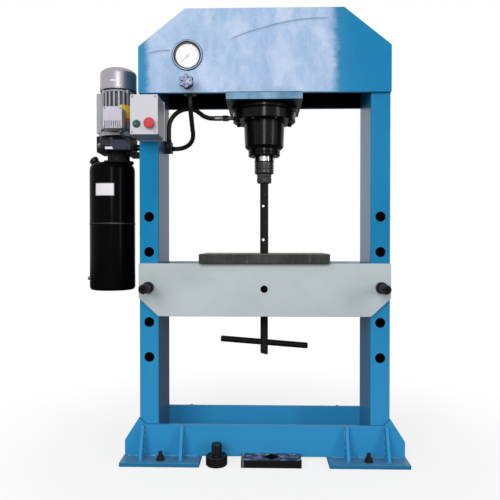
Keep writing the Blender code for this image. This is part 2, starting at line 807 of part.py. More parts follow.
def make_foot(name, side):
    """The floor plate of one post, with four ribs that stand against the beams."""
    left, right = sorted((side * FOOT_INNER, side * FOOT_OUTER))
    outline = rectangle(left, right, -FOOT_DEPTH / 2, FOOT_DEPTH / 2)
    holes = [circle((side * ANCHOR_X, y), ANCHOR_RADIUS + HOLE_FIT, SMALL) for y in (-ANCHOR_Y, ANCHOR_Y)]
    foot = flat(name, outline, FOOT_PLATE, (0, 0, FOOT_PLATE / 2), FLAT, holes)
    for number, place in enumerate(RIB_PLACES):
        for facing in (-1, 1):
            rib_name = f"{name}_rib_{number}_{'front' if facing < 0 else 'back'}"
            weld(foot, make_rib(rib_name, side * place, facing))
    return finish(foot, "blue_paint")


def make_rib(name, x, facing):
    near = BEAM_FACE_Y + GAP
    far = near + RIB_REACH
    floor = FOOT_PLATE - OVERLAP
    outline = [
        (facing * near, floor),
        (facing * far, floor),
        (facing * far, FOOT_PLATE + RIB_NOSE),
        (facing * (near + RIB_NOSE), BEAM_TOP),
        (facing * near, BEAM_TOP),
    ]
    return flat(name, outline, RIB_PLATE, (x, 0, 0), FACING_SIDE)


def make_anchor_bolt(name, x, y):
    """A stud in the floor plate's hole, with its washer and nut."""
    top = FLOOR_PLATE_TOP + ANCHOR_STAND
    low = GAP
    stud = round_bar(name, ANCHOR_RADIUS, top - low, (x, y, (top + low) / 2), UPRIGHT, SMALL)
    washer_z = FLOOR_PLATE_TOP + ANCHOR_WASHER_DEPTH / 2
    washer = (x, y, washer_z)
    weld(stud, round_bar(name + "_washer", ANCHOR_WASHER_RADIUS, ANCHOR_WASHER_DEPTH, washer, UPRIGHT, SMALL))
    nut_depth = ANCHOR_NUT_DEPTH + OVERLAP / 2
    nut_z = FLOOR_PLATE_TOP + ANCHOR_WASHER_DEPTH - OVERLAP / 2 + nut_depth / 2
    weld(stud, round_bar(name + "_nut", ANCHOR_NUT_RADIUS, nut_depth, (x, y, nut_z), UPRIGHT, HEX))
    return finish(stud, "dark_steel")


# Bolster, table and pins.


def make_bolster_plate(name, side):
    half = FRAME_WIDTH / 2
    bottom = BOLSTER_TOP - BOLSTER_HEIGHT
    outline = [
        (-half + BOLSTER_CUT_RUN, bottom),
        (half - BOLSTER_CUT_RUN, bottom),
        (half, bottom + BOLSTER_CUT_RISE),
        (half, BOLSTER_TOP),
        (-half, BOLSTER_TOP),
        (-half, bottom + BOLSTER_CUT_RISE),
    ]
    height = hole_heights()[BOLSTER_STOP]
    holes = [circle((x, height), PIN_HOLE / 2, MEDIUM) for x in (-POST_X, POST_X)]
    holes.append(circle((0, BOLSTER_BORE_Z), BOLSTER_BORE, SMALL))
    y = POST_HALF_DEPTH + GAP + BOLSTER_PLATE / 2
    plate = flat(name, outline, BOLSTER_PLATE, (0, side * y, 0), FACING_FRONT, holes)
    return finish(plate, "grey_paint")


def make_bolster_web(name, side):
    """A plate across the bolster, which holds its two side plates apart."""
    x = side * BOLSTER_WEB_X
    top = BOLSTER_TOP
    half = BOLSTER_WEB / 2
    limits = (top - BOLSTER_WEB_DEPTH, top)
    web = box(name, (x - half, x + half), (-POST_HALF_DEPTH, POST_HALF_DEPTH), limits)
    return finish(web, "grey_paint")


def make_table_plate():
    outline = rectangle(-TABLE_LENGTH / 2, TABLE_LENGTH / 2, -TABLE_DEPTH / 2, TABLE_DEPTH / 2)
    bore = circle((0, 0), TABLE_BORE, ROUND)
    plate = flat("table_plate", outline, TABLE_PLATE, (0, 0, TABLE_Z), FLAT, [bore])
    bevel(plate, TABLE_CHAMFER)
    return finish(plate, "dark_steel")


def make_pin(name, side):
    """A loose pin through the bolster and a post, with a knurled collar and a long grip."""
    face = POST_HALF_DEPTH + GAP + BOLSTER_PLATE
    collar = face + GAP
    grip = face + PIN_GRIP
    chamfer = 0.0015
    profile = [
        (0, grip),
        (PIN_RADIUS - chamfer, grip),
        (PIN_RADIUS, grip - chamfer),
        (PIN_RADIUS, collar + PIN_COLLAR_DEPTH),
        (PIN_COLLAR_RADIUS - chamfer, collar + PIN_COLLAR_DEPTH),
        (PIN_COLLAR_RADIUS, collar + PIN_COLLAR_DEPTH - chamfer),
        (PIN_COLLAR_RADIUS, collar),
        (PIN_RADIUS, collar),
        (PIN_RADIUS, -face - PIN_TAIL + chamfer),
        (PIN_RADIUS - chamfer, -face - PIN_TAIL),
        (0, -face - PIN_TAIL),
    ]
    place = (side * POST_X, 0, hole_heights()[BOLSTER_STOP])
    return finish(turned(name, profile, place, FRONTWARD, MEDIUM), "dark_steel")


# Cylinder, ram and rod.


def make_cylinder_barrel():
    """The flanged barrel, closed at the top, with the oil port in its collar."""
    chamfer = 0.010
    groove_top = FLANGE_TOP - FLANGE_DEPTH
    profile = [
        (0, BARREL_TOP),
        (BARREL_TOP_RADIUS, BARREL_TOP),
        (BARREL_TOP_RADIUS, FLANGE_TOP),
        (FLANGE_RADIUS, FLANGE_TOP),
        (FLANGE_RADIUS, groove_top),
        (GROOVE_RADIUS, groove_top),
        (GROOVE_RADIUS, COLLAR_TOP),
        (COLLAR_RADIUS, COLLAR_TOP),
        (COLLAR_RADIUS, COLLAR_TOP - COLLAR_DEPTH),
        (BARREL_TOP_RADIUS, COLLAR_TOP - COLLAR_DEPTH),
        (BARREL_END_RADIUS, BARREL_BOTTOM + chamfer),
        (BARREL_END_RADIUS - chamfer, BARREL_BOTTOM),
        (BORE_RADIUS, BARREL_BOTTOM),
        (BORE_RADIUS, BARREL_TOP - BARREL_END_CAP),
        (0, BARREL_TOP - BARREL_END_CAP),
    ]
    barrel = turned("cylinder_barrel", profile, steps=FINE)
    outer = COLLAR_RADIUS + OVERCUT
    inner = BORE_RADIUS - OVERCUT
    middle = (-(outer + inner) / 2, 0, PORT_Z)
    cut(barrel, round_bar("cylinder_port", PORT_BORE, outer - inner, middle, LEFTWARD, SMALL))
    return finish(barrel, "black_gloss")


def make_cylinder_gland():
    top = BARREL_BOTTOM + GLAND_SPIGOT
    spigot = BORE_RADIUS - GAP
    inner = RAM_RADIUS + SLIDE_FIT
    chamfer = 0.003
    profile = [
        (inner, top),
        (spigot, top),
        (spigot, BARREL_BOTTOM - GAP),
        (GLAND_RADIUS + chamfer, BARREL_BOTTOM - GAP),
        (GLAND_RADIUS + chamfer, GLAND_BOTTOM + chamfer),
        (GLAND_RADIUS, GLAND_BOTTOM),
        (inner, GLAND_BOTTOM),
    ]
    return finish(turned("cylinder_gland", profile, steps=FINE, ring=True), "black_gloss")


def make_piston_ram():
    piston = BORE_RADIUS - 2 * GAP
    shoulder = PISTON_TOP - PISTON_DEPTH
    profile = [
        (0, PISTON_TOP),
        (piston, PISTON_TOP),
        (piston, shoulder),
        (RAM_RADIUS, shoulder),
        (RAM_RADIUS, RAM_BOTTOM),
        (0, RAM_BOTTOM),
    ]
    return finish(turned("piston_ram", profile, steps=FINE), "chrome")


def make_ram_collar():
    """The collar on the ram's end, hollowed for the rod's head."""
    pocket = ROD_HEAD_RADIUS + SLIDE_FIT
    ceiling = ROD_TOP + GAP
    profile = [
        (0, RAM_COLLAR_TOP),
        (RAM_COLLAR_RADIUS, RAM_COLLAR_TOP),
        (RAM_COLLAR_RADIUS, RAM_COLLAR_BOTTOM),
        (pocket, RAM_COLLAR_BOTTOM),
        (pocket, ceiling),
        (0, ceiling),
    ]
    return finish(turned("ram_collar", profile, steps=FINE), "black_steel")


def make_rod_nut():
    """The knurled nut under the collar, which traps the rod's head."""
    round_off = 0.003
    profile = [
        (ROD_RADIUS + SLIDE_FIT, ROD_NUT_TOP),
        (ROD_NUT_RADIUS, ROD_NUT_TOP),
        (ROD_NUT_RADIUS, ROD_NUT_BOTTOM + round_off),
        (ROD_NUT_RADIUS - round_off, ROD_NUT_BOTTOM),
        (ROD_RADIUS + SLIDE_FIT, ROD_NUT_BOTTOM),
    ]
    return finish(turned("rod_nut", profile, steps=FINE, ring=True), "dark_steel")


def make_lifting_rod():
    """The headed rod that hangs from the nut, drilled for the cross bar."""
    underside = ROD_TOP - ROD_HEAD_DEPTH
    profile = [
        (0, ROD_TOP),
        (ROD_HEAD_RADIUS, ROD_TOP),
        (ROD_HEAD_RADIUS, underside),
        (ROD_RADIUS, underside),
        (ROD_RADIUS, ROD_STEP_Z),
        (ROD_TAIL_RADIUS, ROD_STEP_Z),
        (ROD_TAIL_RADIUS, ROD_BOTTOM),
        (0, ROD_BOTTOM),
    ]
    rod = turned("lifting_rod", profile, steps=ROUND)
    length = 2 * ROD_RADIUS + 2 * OVERCUT
    for number, height in enumerate(ROD_CROSS_HOLES):
        name = f"lifting_rod_cross_hole_{number}"
        middle = (ROD_CROSS_HOLE_X, 0, height)
        cut(rod, round_bar(name, ROD_CROSS_HOLE, length, middle, FRONTWARD, SMALL))
    cut(rod, round_bar("lifting_rod_bar_bore", BAR_BORE, length, (0, 0, BAR_Z), RIGHTWARD, ROUND))
    slab = 4 * ROD_TAIL_RADIUS
    sawn = box("lifting_rod_sawn_end", (-slab, slab), (-slab, slab), (-slab, 0))
    below = Euler((0, ROD_SLANT, 0)).to_matrix() @ Vector((0, 0, -slab / 2))
    sawn.location = Vector((ROD_TAIL_RADIUS, 0, ROD_BOTTOM)) + below
    sawn.rotation_euler = (0, ROD_SLANT, 0)
    cut(rod, sawn)
    return finish(rod, "dark_steel")


def make_lifting_bar():
    """The loose cross bar. It tilts in its bore as far as the bore lets it."""
    chamfer = 0.0015
    half = BAR_LENGTH / 2
    profile = [
        (0, half),
        (BAR_RADIUS - chamfer, half),
        (BAR_RADIUS, half - chamfer),
        (BAR_RADIUS, -half + chamfer),
        (BAR_RADIUS - chamfer, -half),
        (0, -half),
    ]
    turn = (0, math.pi / 2 + BAR_TILT, 0)
    return finish(turned("lifting_bar", profile, (0, 0, BAR_Z), turn, ROUND), "black_steel")


def make_cylinder_port_fitting():
    """The crimped ferrule, nut and nipple that join the hose to the cylinder's port."""
    nut_end = COLLAR_RADIUS + PORT_NIPPLE
    ferrule_start = nut_end + PORT_NUT_LENGTH
    profile = [
        (0, -FERRULE_END),
        (FERRULE_RADIUS, -FERRULE_END),
        (FERRULE_RADIUS, ferrule_start - OVERLAP),
        (PORT_BORE - SLIDE_FIT, ferrule_start - OVERLAP),
        (PORT_BORE - SLIDE_FIT, COLLAR_RADIUS - PORT_NIPPLE_IN),
        (0, COLLAR_RADIUS - PORT_NIPPLE_IN),
    ]
    fitting = turned("cylinder_port_fitting", profile, (0, 0, PORT_Z), LEFTWARD, SMALL)
    nut_middle = (-(nut_end + ferrule_start) / 2, 0, PORT_Z)
    weld(fitting, round_bar("cylinder_port_nut", PORT_NUT_RADIUS, PORT_NUT_LENGTH, nut_middle, LEFTWARD, HEX))
    return finish(fitting, "zinc")


# Gauge and release valve.


def make_gauge_case():
    """A deep panel gauge: flange outside the plate, recessed dial, stem to the valve below."""
    flange_back = PLATE_FACE_Y + GAP
    front = flange_back + GAUGE_FLANGE_DEPTH
    floor = front - GAUGE_RECESS
    back = flange_back - GAUGE_BODY_DEPTH
    profile = [
        (0, floor),
        (GAUGE_OPENING_RADIUS, floor),
        (GAUGE_OPENING_RADIUS, front),
        (GAUGE_FLANGE_RADIUS, front),
        (GAUGE_FLANGE_RADIUS, flange_back),
        (GAUGE_BODY_RADIUS, flange_back),
        (GAUGE_BODY_RADIUS, back),
        (0, back),
    ]
    case = turned("gauge_case", profile, (GAUGE_X, 0, GAUGE_Z), FRONTWARD, FINE)
    valve_top = VALVE_Z + VALVE_BLOCK / 2 + GAP
    joint = GAUGE_Z - GAUGE_BODY_RADIUS + 3 * OVERLAP
    stem_y = -(back + GAUGE_STEM_RADIUS + 2 * OVERLAP)
    middle = (GAUGE_X, stem_y, (valve_top + joint) / 2)
    weld(case, round_bar("gauge_stem", GAUGE_STEM_RADIUS, joint - valve_top, middle, UPRIGHT, SMALL))
    return finish(case, "blue_paint")


def gauge_front():
    return PLATE_FACE_Y + GAP + GAUGE_FLANGE_DEPTH


def make_gauge_glass():
    front = gauge_front() - GAUGE_GLASS_SET
    middle = (GAUGE_X, -(front - GAUGE_GLASS / 2), GAUGE_Z)
    radius = GAUGE_OPENING_RADIUS - GAP
    return finish(round_bar("gauge_glass", radius, GAUGE_GLASS, middle, FRONTWARD, FINE), "glass")


def make_gauge_needle():
    """A pointer with a counterweight, on its spindle's axis. It rests at the dial's start."""
    width = 0.0014
    tip = 0.0004
    outline = [
        (-width, -NEEDLE_TAIL),
        (width, -NEEDLE_TAIL),
        (width, 0),
        (tip, NEEDLE_LENGTH),
        (-tip, NEEDLE_LENGTH),
        (-width, 0),
    ]
    floor = gauge_front() - GAUGE_RECESS
    hub_depth = 0.0040
    stand = floor + GAP
    height = stand + hub_depth - NEEDLE_PLATE
    place = (GAUGE_X, -height, GAUGE_Z)
    needle = flat("gauge_needle", outline, NEEDLE_PLATE, place, FACING_FRONT)
    needle.rotation_euler = (math.pi / 2, NEEDLE_START, 0)
    hub = (GAUGE_X, -(stand + hub_depth / 2), GAUGE_Z)
    weld(needle, round_bar("gauge_needle_hub", NEEDLE_HUB_RADIUS, hub_depth, hub, FRONTWARD, SMALL))
    return finish(needle, "black_plastic")


def make_valve_body():
    """The valve block behind the plate, with the nose that comes through it."""
    half = VALVE_BLOCK / 2
    front = -(POST_HALF_DEPTH - GAP)
    back = front + VALVE_BLOCK_DEPTH
    across = (VALVE_X - half, VALVE_X + half)
    body = box("valve_body", across, (front, back), (VALVE_Z - half, VALVE_Z + half))
    nose_end = -(PLATE_FACE_Y + VALVE_NOSE)
    nose_start = front + OVERLAP
    middle = (VALVE_X, (nose_start + nose_end) / 2, VALVE_Z)
    weld(body, round_bar("valve_nose", VALVE_NOSE_RADIUS, nose_start - nose_end, middle, FRONTWARD, ROUND))
    bore_start = front + VALVE_SPINDLE_IN + OVERCUT
    bore_end = nose_end - OVERCUT
    bore = (VALVE_X, (bore_start + bore_end) / 2, VALVE_Z)
    radius = VALVE_SPINDLE_RADIUS + SLIDE_FIT
    cut(body, round_bar("valve_bore", radius, bore_start - bore_end, bore, FRONTWARD, SMALL))
    return finish(body, "bright_steel")


def make_valve_handwheel():
    """A six-lobed knob on its spindle."""
    points = 48
    outline = []
    for i in range(points):
        angle = math.tau * i / points
        radius = VALVE_WHEEL_RADIUS + VALVE_WHEEL_WAVE * math.cos(VALVE_LOBES * angle)
        outline.append((radius * math.sin(angle), radius * math.cos(angle)))
    holes = []
    for i in range(VALVE_LOBES):
        angle = math.tau * i / VALVE_LOBES
        place = (VALVE_LOBE_HOLE_PLACE * math.sin(angle), VALVE_LOBE_HOLE_PLACE * math.cos(angle))
        holes.append(circle(place, VALVE_LOBE_HOLE, 8))
    back = PLATE_FACE_Y + VALVE_WHEEL_STAND
    middle = (VALVE_X, -(back + VALVE_WHEEL_DEPTH / 2), VALVE_Z)
    name = "valve_handwheel"
    wheel = flat(name, outline, VALVE_WHEEL_DEPTH, middle, FACING_FRONT, holes)
    inside = POST_HALF_DEPTH - GAP - VALVE_SPINDLE_IN
    outside = back + OVERLAP
    spindle = (VALVE_X, -(inside + outside) / 2, VALVE_Z)
    weld(wheel, round_bar("valve_spindle", VALVE_SPINDLE_RADIUS, outside - inside, spindle, FRONTWARD, SMALL))
    return finish(wheel, "slate_plastic")


# Control box.


def box_limits():
    base_back = -(POST_HALF_DEPTH + GAP)
    base_front = base_back - BOX_BASE_DEPTH
    lid_back = base_front - GAP
    return base_back, base_front, lid_back, lid_back - BOX_LID_DEPTH


def make_control_box_base():
    """The open-fronted back half of the box, screwed to the post."""
    back, front, _, _ = box_limits()
    x = (BOX_LEFT, BOX_LEFT + BOX_WIDTH)
    z = (BOX_BOTTOM, BOX_BOTTOM + BOX_HEIGHT)
    base = bevel_uprights(box("control_box_base", x, (front, back), z))
    inside_x = (x[0] + BOX_WALL, x[1] - BOX_WALL)
    inside_z = (z[0] + BOX_WALL, z[1] - BOX_WALL)
    cut(base, box("control_box_base_hollow", inside_x, (front - OVERCUT, back - BOX_WALL), inside_z))
    return finish(base, "pale_plastic")


def bevel_uprights(piece):
    """Rounds the four edges of a box that run from front to back."""
    weights = piece.data.attributes.new("bevel_weight_edge", "FLOAT", "EDGE")
    for edge in piece.data.edges:
        ends = [piece.data.vertices[i].co for i in edge.vertices]
        along_y = abs(ends[0].y - ends[1].y) > abs(ends[0].x - ends[1].x) + abs(ends[0].z - ends[1].z)
        weights.data[edge.index].value = 1.0 if along_y else 0.0
    edge = piece.modifiers.new("corners", "BEVEL")
    edge.width = BOX_CORNER
    edge.segments = 3
    edge.limit_method = "WEIGHT"
    return piece


def make_control_box_lid():
    """The deep lid, with a bezel and a bore for each button."""
    _, _, back, front = box_limits()
    x = (BOX_LEFT, BOX_LEFT + BOX_WIDTH)
    z = (BOX_BOTTOM, BOX_BOTTOM + BOX_HEIGHT)
    lid = bevel_uprights(box("control_box_lid", x, (front, back), z))
    inside_x = (x[0] + BOX_WALL, x[1] - BOX_WALL)
    inside_z = (z[0] + BOX_WALL, z[1] - BOX_WALL)
    cut(lid, box("control_box_lid_hollow", inside_x, (front + BOX_WALL, back + OVERCUT), inside_z))
    for name, place in (("start", START_X), ("stop", STOP_X)):
        depth = BUTTON_BEZEL + OVERLAP
        bezel = (place, front - BUTTON_BEZEL + depth / 2, BUTTON_Z)
        weld(lid, round_bar(name + "_bezel", BUTTON_BEZEL_RADIUS, depth, bezel, FRONTWARD, ROUND))
        length = BUTTON_BEZEL + BOX_WALL + 2 * OVERCUT
        bore = (place, front + (BOX_WALL - BUTTON_BEZEL) / 2, BUTTON_Z)
        cut(lid, round_bar(name + "_bore", BUTTON_BORE, length, bore, FRONTWARD, ROUND))
    return finish(lid, "pale_plastic")


def make_start_button():
    _, _, _, front = box_limits()
    face = -front + BUTTON_BEZEL + START_PROUD
    chamfer = 0.001
    profile = [
        (0, face),
        (BUTTON_STEM_RADIUS - chamfer, face),
        (BUTTON_STEM_RADIUS, face - chamfer),
        (BUTTON_STEM_RADIUS, -front - BUTTON_STEM_IN),
        (0, -front - BUTTON_STEM_IN),
    ]
    return finish(turned("start_button", profile, (START_X, 0, BUTTON_Z), FRONTWARD, ROUND), "green_plastic")


def make_stop_button():
    _, _, _, front = box_limits()
    neck = -front + BUTTON_BEZEL + STOP_NECK
    face = neck + STOP_HEAD_DEPTH
    crown = 0.004
    profile = [
        (0, face),
        (STOP_HEAD_RADIUS * 0.6, face - crown * 0.15),
        (STOP_HEAD_RADIUS * 0.9, face - crown * 0.6),
        (STOP_HEAD_RADIUS, face - crown * 1.5),
        (STOP_HEAD_RADIUS, neck + crown / 2),
        (STOP_HEAD_RADIUS - crown / 2, neck),
        (BUTTON_STEM_RADIUS, neck),
        (BUTTON_STEM_RADIUS, -front - BUTTON_STEM_IN),
        (0, -front - BUTTON_STEM_IN),
    ]
    return finish(turned("stop_button", profile, (STOP_X, 0, BUTTON_Z), FRONTWARD, ROUND), "red_plastic")


# Power pack.


def make_motor_frame():
    """The finned stator housing on its flange, with a mounting pad on the outer side."""
    bottom = MOTOR_FLANGE_BOTTOM
    top = MOTOR_FRAME_TOP
    outline = []
    for i in range(MOTOR_FINS):
        start = math.tau * i / MOTOR_FINS
        width = math.tau / MOTOR_FINS * MOTOR_FIN_SHARE
        root, tip = MOTOR_CORE_RADIUS, MOTOR_FIN_RADIUS
        for share, radius in ((0, root), (0, tip), (1, tip), (1, root)):
            angle = start + (share - 0.5) * width
            outline.append((radius * math.cos(angle), radius * math.sin(angle)))
    middle = (PACK_X, 0, (bottom + top) / 2)
    frame = flat("motor_frame", outline, top - bottom, middle)
    flange_z = bottom + MOTOR_FLANGE_DEPTH / 2
    flange_middle = (PACK_X, 0, flange_z)
    weld(frame, round_bar("motor_flange", MOTOR_FLANGE_RADIUS, MOTOR_FLANGE_DEPTH, flange_middle, sides=FINE))
    pad_x = (PACK_X - MOTOR_PAD_REACH, PACK_X - MOTOR_CORE_RADIUS + OVERLAP * 2)
    pad_z = (bottom + MOTOR_FLANGE_DEPTH / 2, top - MOTOR_SHIELD)
    weld(frame, box("motor_pad", pad_x, (-MOTOR_PAD_HALF, MOTOR_PAD_HALF), pad_z))
    inside_low = bottom + MOTOR_FLANGE_DEPTH
    inside_high = top - MOTOR_SHIELD
    inside = (PACK_X, 0, (inside_low + inside_high) / 2)
    cut(frame, round_bar("motor_inside", MOTOR_INSIDE_RADIUS, inside_high - inside_low, inside))
    length = top - bottom + 2 * OVERCUT
    cut(frame, round_bar("motor_bearing_bore", SHAFT_BORE, length, middle, sides=SMALL))
    return finish(frame, "cast_aluminium")


def make_motor_fan_cowl():
    """The domed cover over the fan."""
    low = MOTOR_FRAME_TOP + GAP
    side = low + COWL_SIDE
    steps = 4
    outer = []
    inner = []
    for i in range(steps + 1):
        angle = math.pi / 2 * i / steps
        outer.append((COWL_RADIUS * math.sin(angle), side + COWL_DOME * math.cos(angle)))
        radius = COWL_RADIUS - COWL_WALL
        inner.append((radius * math.sin(angle), side + (COWL_DOME - COWL_WALL) * math.cos(angle)))
    profile = outer + [(COWL_RADIUS, low), (COWL_RADIUS - COWL_WALL, low)] + inner[::-1]
    return finish(turned("motor_fan_cowl", profile, (PACK_X, 0, 0), steps=FINE), "cast_aluminium")


def make_motor_fan():
    low = MOTOR_FRAME_TOP + FAN_LIFT
    middle = (PACK_X, 0, low + FAN_DEPTH / 2)
    fan = round_bar("motor_fan", FAN_HUB_RADIUS, FAN_DEPTH, middle, sides=ROUND)
    for i in range(FAN_BLADES):
        inner = FAN_HUB_RADIUS - OVERLAP
        thick = (-FAN_BLADE / 2, FAN_BLADE / 2)
        blade = box(f"motor_fan_blade_{i}", (inner, FAN_RADIUS), thick, (0, FAN_DEPTH))
        angle = math.tau * i / FAN_BLADES
        centre = (inner + FAN_RADIUS) / 2
        blade.location = (PACK_X + centre * math.cos(angle), centre * math.sin(angle), middle[2])
        blade.rotation_euler = (0, 0, angle)
        weld(fan, blade)
    cut(fan, round_bar("motor_fan_bore", SHAFT_RADIUS + GAP, FAN_DEPTH + 2 * OVERCUT, middle, sides=SMALL))
    return finish(fan, "black_plastic")


def pump_top():
    return TANK_TOP - GAP


def gear_pocket_floor():
    return pump_top() - PUMP_DEPTH + PUMP_FLOOR


def make_motor_rotor():
    """The shaft from the fan down to the pump's drive gear, with the rotor on it."""
    inside_low = MOTOR_FLANGE_BOTTOM + MOTOR_FLANGE_DEPTH
    inside_high = MOTOR_FRAME_TOP - MOTOR_SHIELD
    middle = (inside_low + inside_high) / 2
    high = MOTOR_FRAME_TOP + FAN_LIFT + FAN_DEPTH + OVERLAP
    low = gear_pocket_floor() + GAP
    profile = [
        (0, high),
        (SHAFT_RADIUS, high),
        (SHAFT_RADIUS, middle + ROTOR_DEPTH / 2),
        (ROTOR_RADIUS, middle + ROTOR_DEPTH / 2),
        (ROTOR_RADIUS, middle - ROTOR_DEPTH / 2),
        (SHAFT_RADIUS, middle - ROTOR_DEPTH / 2),
        (SHAFT_RADIUS, low),
        (0, low),
    ]
    return finish(turned("motor_rotor", profile, (PACK_X, 0, 0), steps=SMALL), "steel")


def make_motor_terminal_box():
    """The terminal box in front of the motor, on a short seat against its fins."""
    x = (TERMINAL_LEFT, TERMINAL_RIGHT)
    z = (TERMINAL_BOTTOM, TERMINAL_TOP)
    housing = box("motor_terminal_box", x, (TERMINAL_FRONT, TERMINAL_BACK), z)
    bevel(housing, TERMINAL_CORNER)
    seat_x = (PACK_X - TERMINAL_SEAT_HALF, PACK_X + TERMINAL_SEAT_HALF)
    seat_y = (TERMINAL_BACK - OVERLAP, -(MOTOR_FIN_RADIUS + GAP))
    inset = TERMINAL_SEAT_HALF
    seat_z = (MOTOR_FLANGE_BOTTOM + MOTOR_FLANGE_DEPTH + GAP, TERMINAL_TOP - inset)
    weld(housing, box("motor_terminal_seat", seat_x, seat_y, seat_z))
    return finish(housing, "pale_plastic")


def make_pump_manifold():
    """The port block between motor and tank, with the neck that stands on the tank."""
    x = (MANIFOLD_LEFT, MANIFOLD_RIGHT)
    y = (-MANIFOLD_HALF_DEPTH, MANIFOLD_HALF_DEPTH)
    manifold = box("pump_manifold", x, y, (MANIFOLD_BOTTOM, MANIFOLD_TOP))
    low = TANK_TOP + GAP
    high = MANIFOLD_BOTTOM + OVERLAP
    neck = (PACK_X, 0, (low + high) / 2)
    weld(manifold, round_bar("pump_manifold_neck", NECK_RADIUS, high - low, neck, sides=FINE))
    middle = (PACK_X, 0, (low + MANIFOLD_TOP) / 2)
    length = MANIFOLD_TOP - low + 2 * OVERCUT
    cut(manifold, round_bar("pump_manifold_bore", SHAFT_BORE, length, middle, sides=SMALL))
    return finish(manifold, "cast_aluminium")


def make_solenoid_valve():
    """The valve block on the manifold's front, with its coil towards the left."""
    half = SOLENOID_DEPTH / 2
    x = (SOLENOID_SPLIT, SOLENOID_RIGHT)
    z = (SOLENOID_Z - SOLENOID_HALF, SOLENOID_Z + SOLENOID_HALF)
    valve = box("solenoid_valve", x, (SOLENOID_Y - half, SOLENOID_Y + half), z)
    nose = 0.008
    profile = [
        (0, -SOLENOID_LEFT),
        (SOLENOID_COIL_RADIUS - nose, -SOLENOID_LEFT),
        (SOLENOID_COIL_RADIUS - nose * 0.3, -SOLENOID_LEFT - nose * 0.3),
        (SOLENOID_COIL_RADIUS, -SOLENOID_LEFT - nose),
        (SOLENOID_COIL_RADIUS, -SOLENOID_SPLIT - OVERLAP),
        (0, -SOLENOID_SPLIT - OVERLAP),
    ]
    weld(valve, turned("solenoid_coil", profile, (0, SOLENOID_Y, SOLENOID_Z), LEFTWARD, ROUND))
    return finish(valve, "slate_plastic")


def make_gear_pump():
    """The pump body, with a pocket for each gear, a shaft bore and an inlet below."""
    top = pump_top()
    bottom = top - PUMP_DEPTH
    middle = (PACK_X, 0, (top + bottom) / 2)
    pump = round_bar("gear_pump", PUMP_RADIUS, PUMP_DEPTH, middle, sides=FINE)
    floor = gear_pocket_floor()
    pocket = GEAR_MEAN_RADIUS + GEAR_WAVE + SLIDE_FIT
    for number, place in enumerate((PACK_X, PACK_X - GEAR_SPACING)):
        centre = (place, 0, floor + PUMP_POCKET_DEPTH / 2)
        cut(pump, round_bar(f"gear_pump_pocket_{number}", pocket, PUMP_POCKET_DEPTH, centre, sides=ROUND))
    shaft = (PACK_X, 0, (floor + top) / 2 + OVERCUT)
    cut(pump, round_bar("gear_pump_shaft_bore", SHAFT_BORE, top - floor, shaft, sides=SMALL))
    inlet = (PACK_X - GEAR_SPACING / 2, 0, (floor + bottom) / 2)
    length = floor - bottom + OVERCUT
    cut(pump, round_bar("gear_pump_inlet", PUMP_DRAIN, length, inlet, sides=SMALL))
    stub = (PACK_X - GEAR_SPACING, 0, floor - GEAR_STUB / 2)
    radius = GEAR_STUB_RADIUS + SLIDE_FIT
    cut(pump, round_bar("gear_pump_stub_bore", radius, GEAR_STUB + OVERLAP, stub, sides=SMALL))
    return finish(pump, "cast_aluminium")


def gear_outline(turned_by):
    points = GEAR_TEETH * 8
    outline = []
    for i in range(points):
        angle = math.tau * i / points
        radius = GEAR_MEAN_RADIUS + GEAR_WAVE * math.cos(GEAR_TEETH * (angle - turned_by))
        outline.append((radius * math.cos(angle), radius * math.sin(angle)))
    return outline


def gear_middle():
    return gear_pocket_floor() + PUMP_POCKET_DEPTH / 2


def make_pump_drive_gear():
    """The gear on the motor's shaft. A gap between teeth faces the driven gear."""
    half_tooth = math.pi / GEAR_TEETH
    bore = circle((0, 0), SHAFT_RADIUS + GAP, SMALL)
    outline = gear_outline(math.pi + half_tooth)
    gear = flat("pump_drive_gear", outline, GEAR_DEPTH, (PACK_X, 0, gear_middle()), FLAT, [bore])
    return finish(gear, "steel")


def make_pump_driven_gear():
    place = (PACK_X - GEAR_SPACING, 0, gear_middle())
    gear = flat("pump_driven_gear", gear_outline(0), GEAR_DEPTH, place)
    high = gear_middle() - GEAR_DEPTH / 2 + OVERLAP
    low = gear_pocket_floor() - GEAR_STUB + OVERLAP
    stub = (place[0], 0, (high + low) / 2)
    weld(gear, round_bar("pump_driven_gear_stub", GEAR_STUB_RADIUS, high - low, stub, sides=SMALL))
    return finish(gear, "steel")


def arc(middle, radius_x, radius_z, start, end, steps):
    """Points of an elliptical arc in a turned profile. Angles are from +radius, in degrees."""
    points = []
    for i in range(steps + 1):
        angle = math.radians(start + (end - start) * i / steps)
        points.append((middle[0] + radius_x * math.cos(angle), middle[1] + radius_z * math.sin(angle)))
    return points


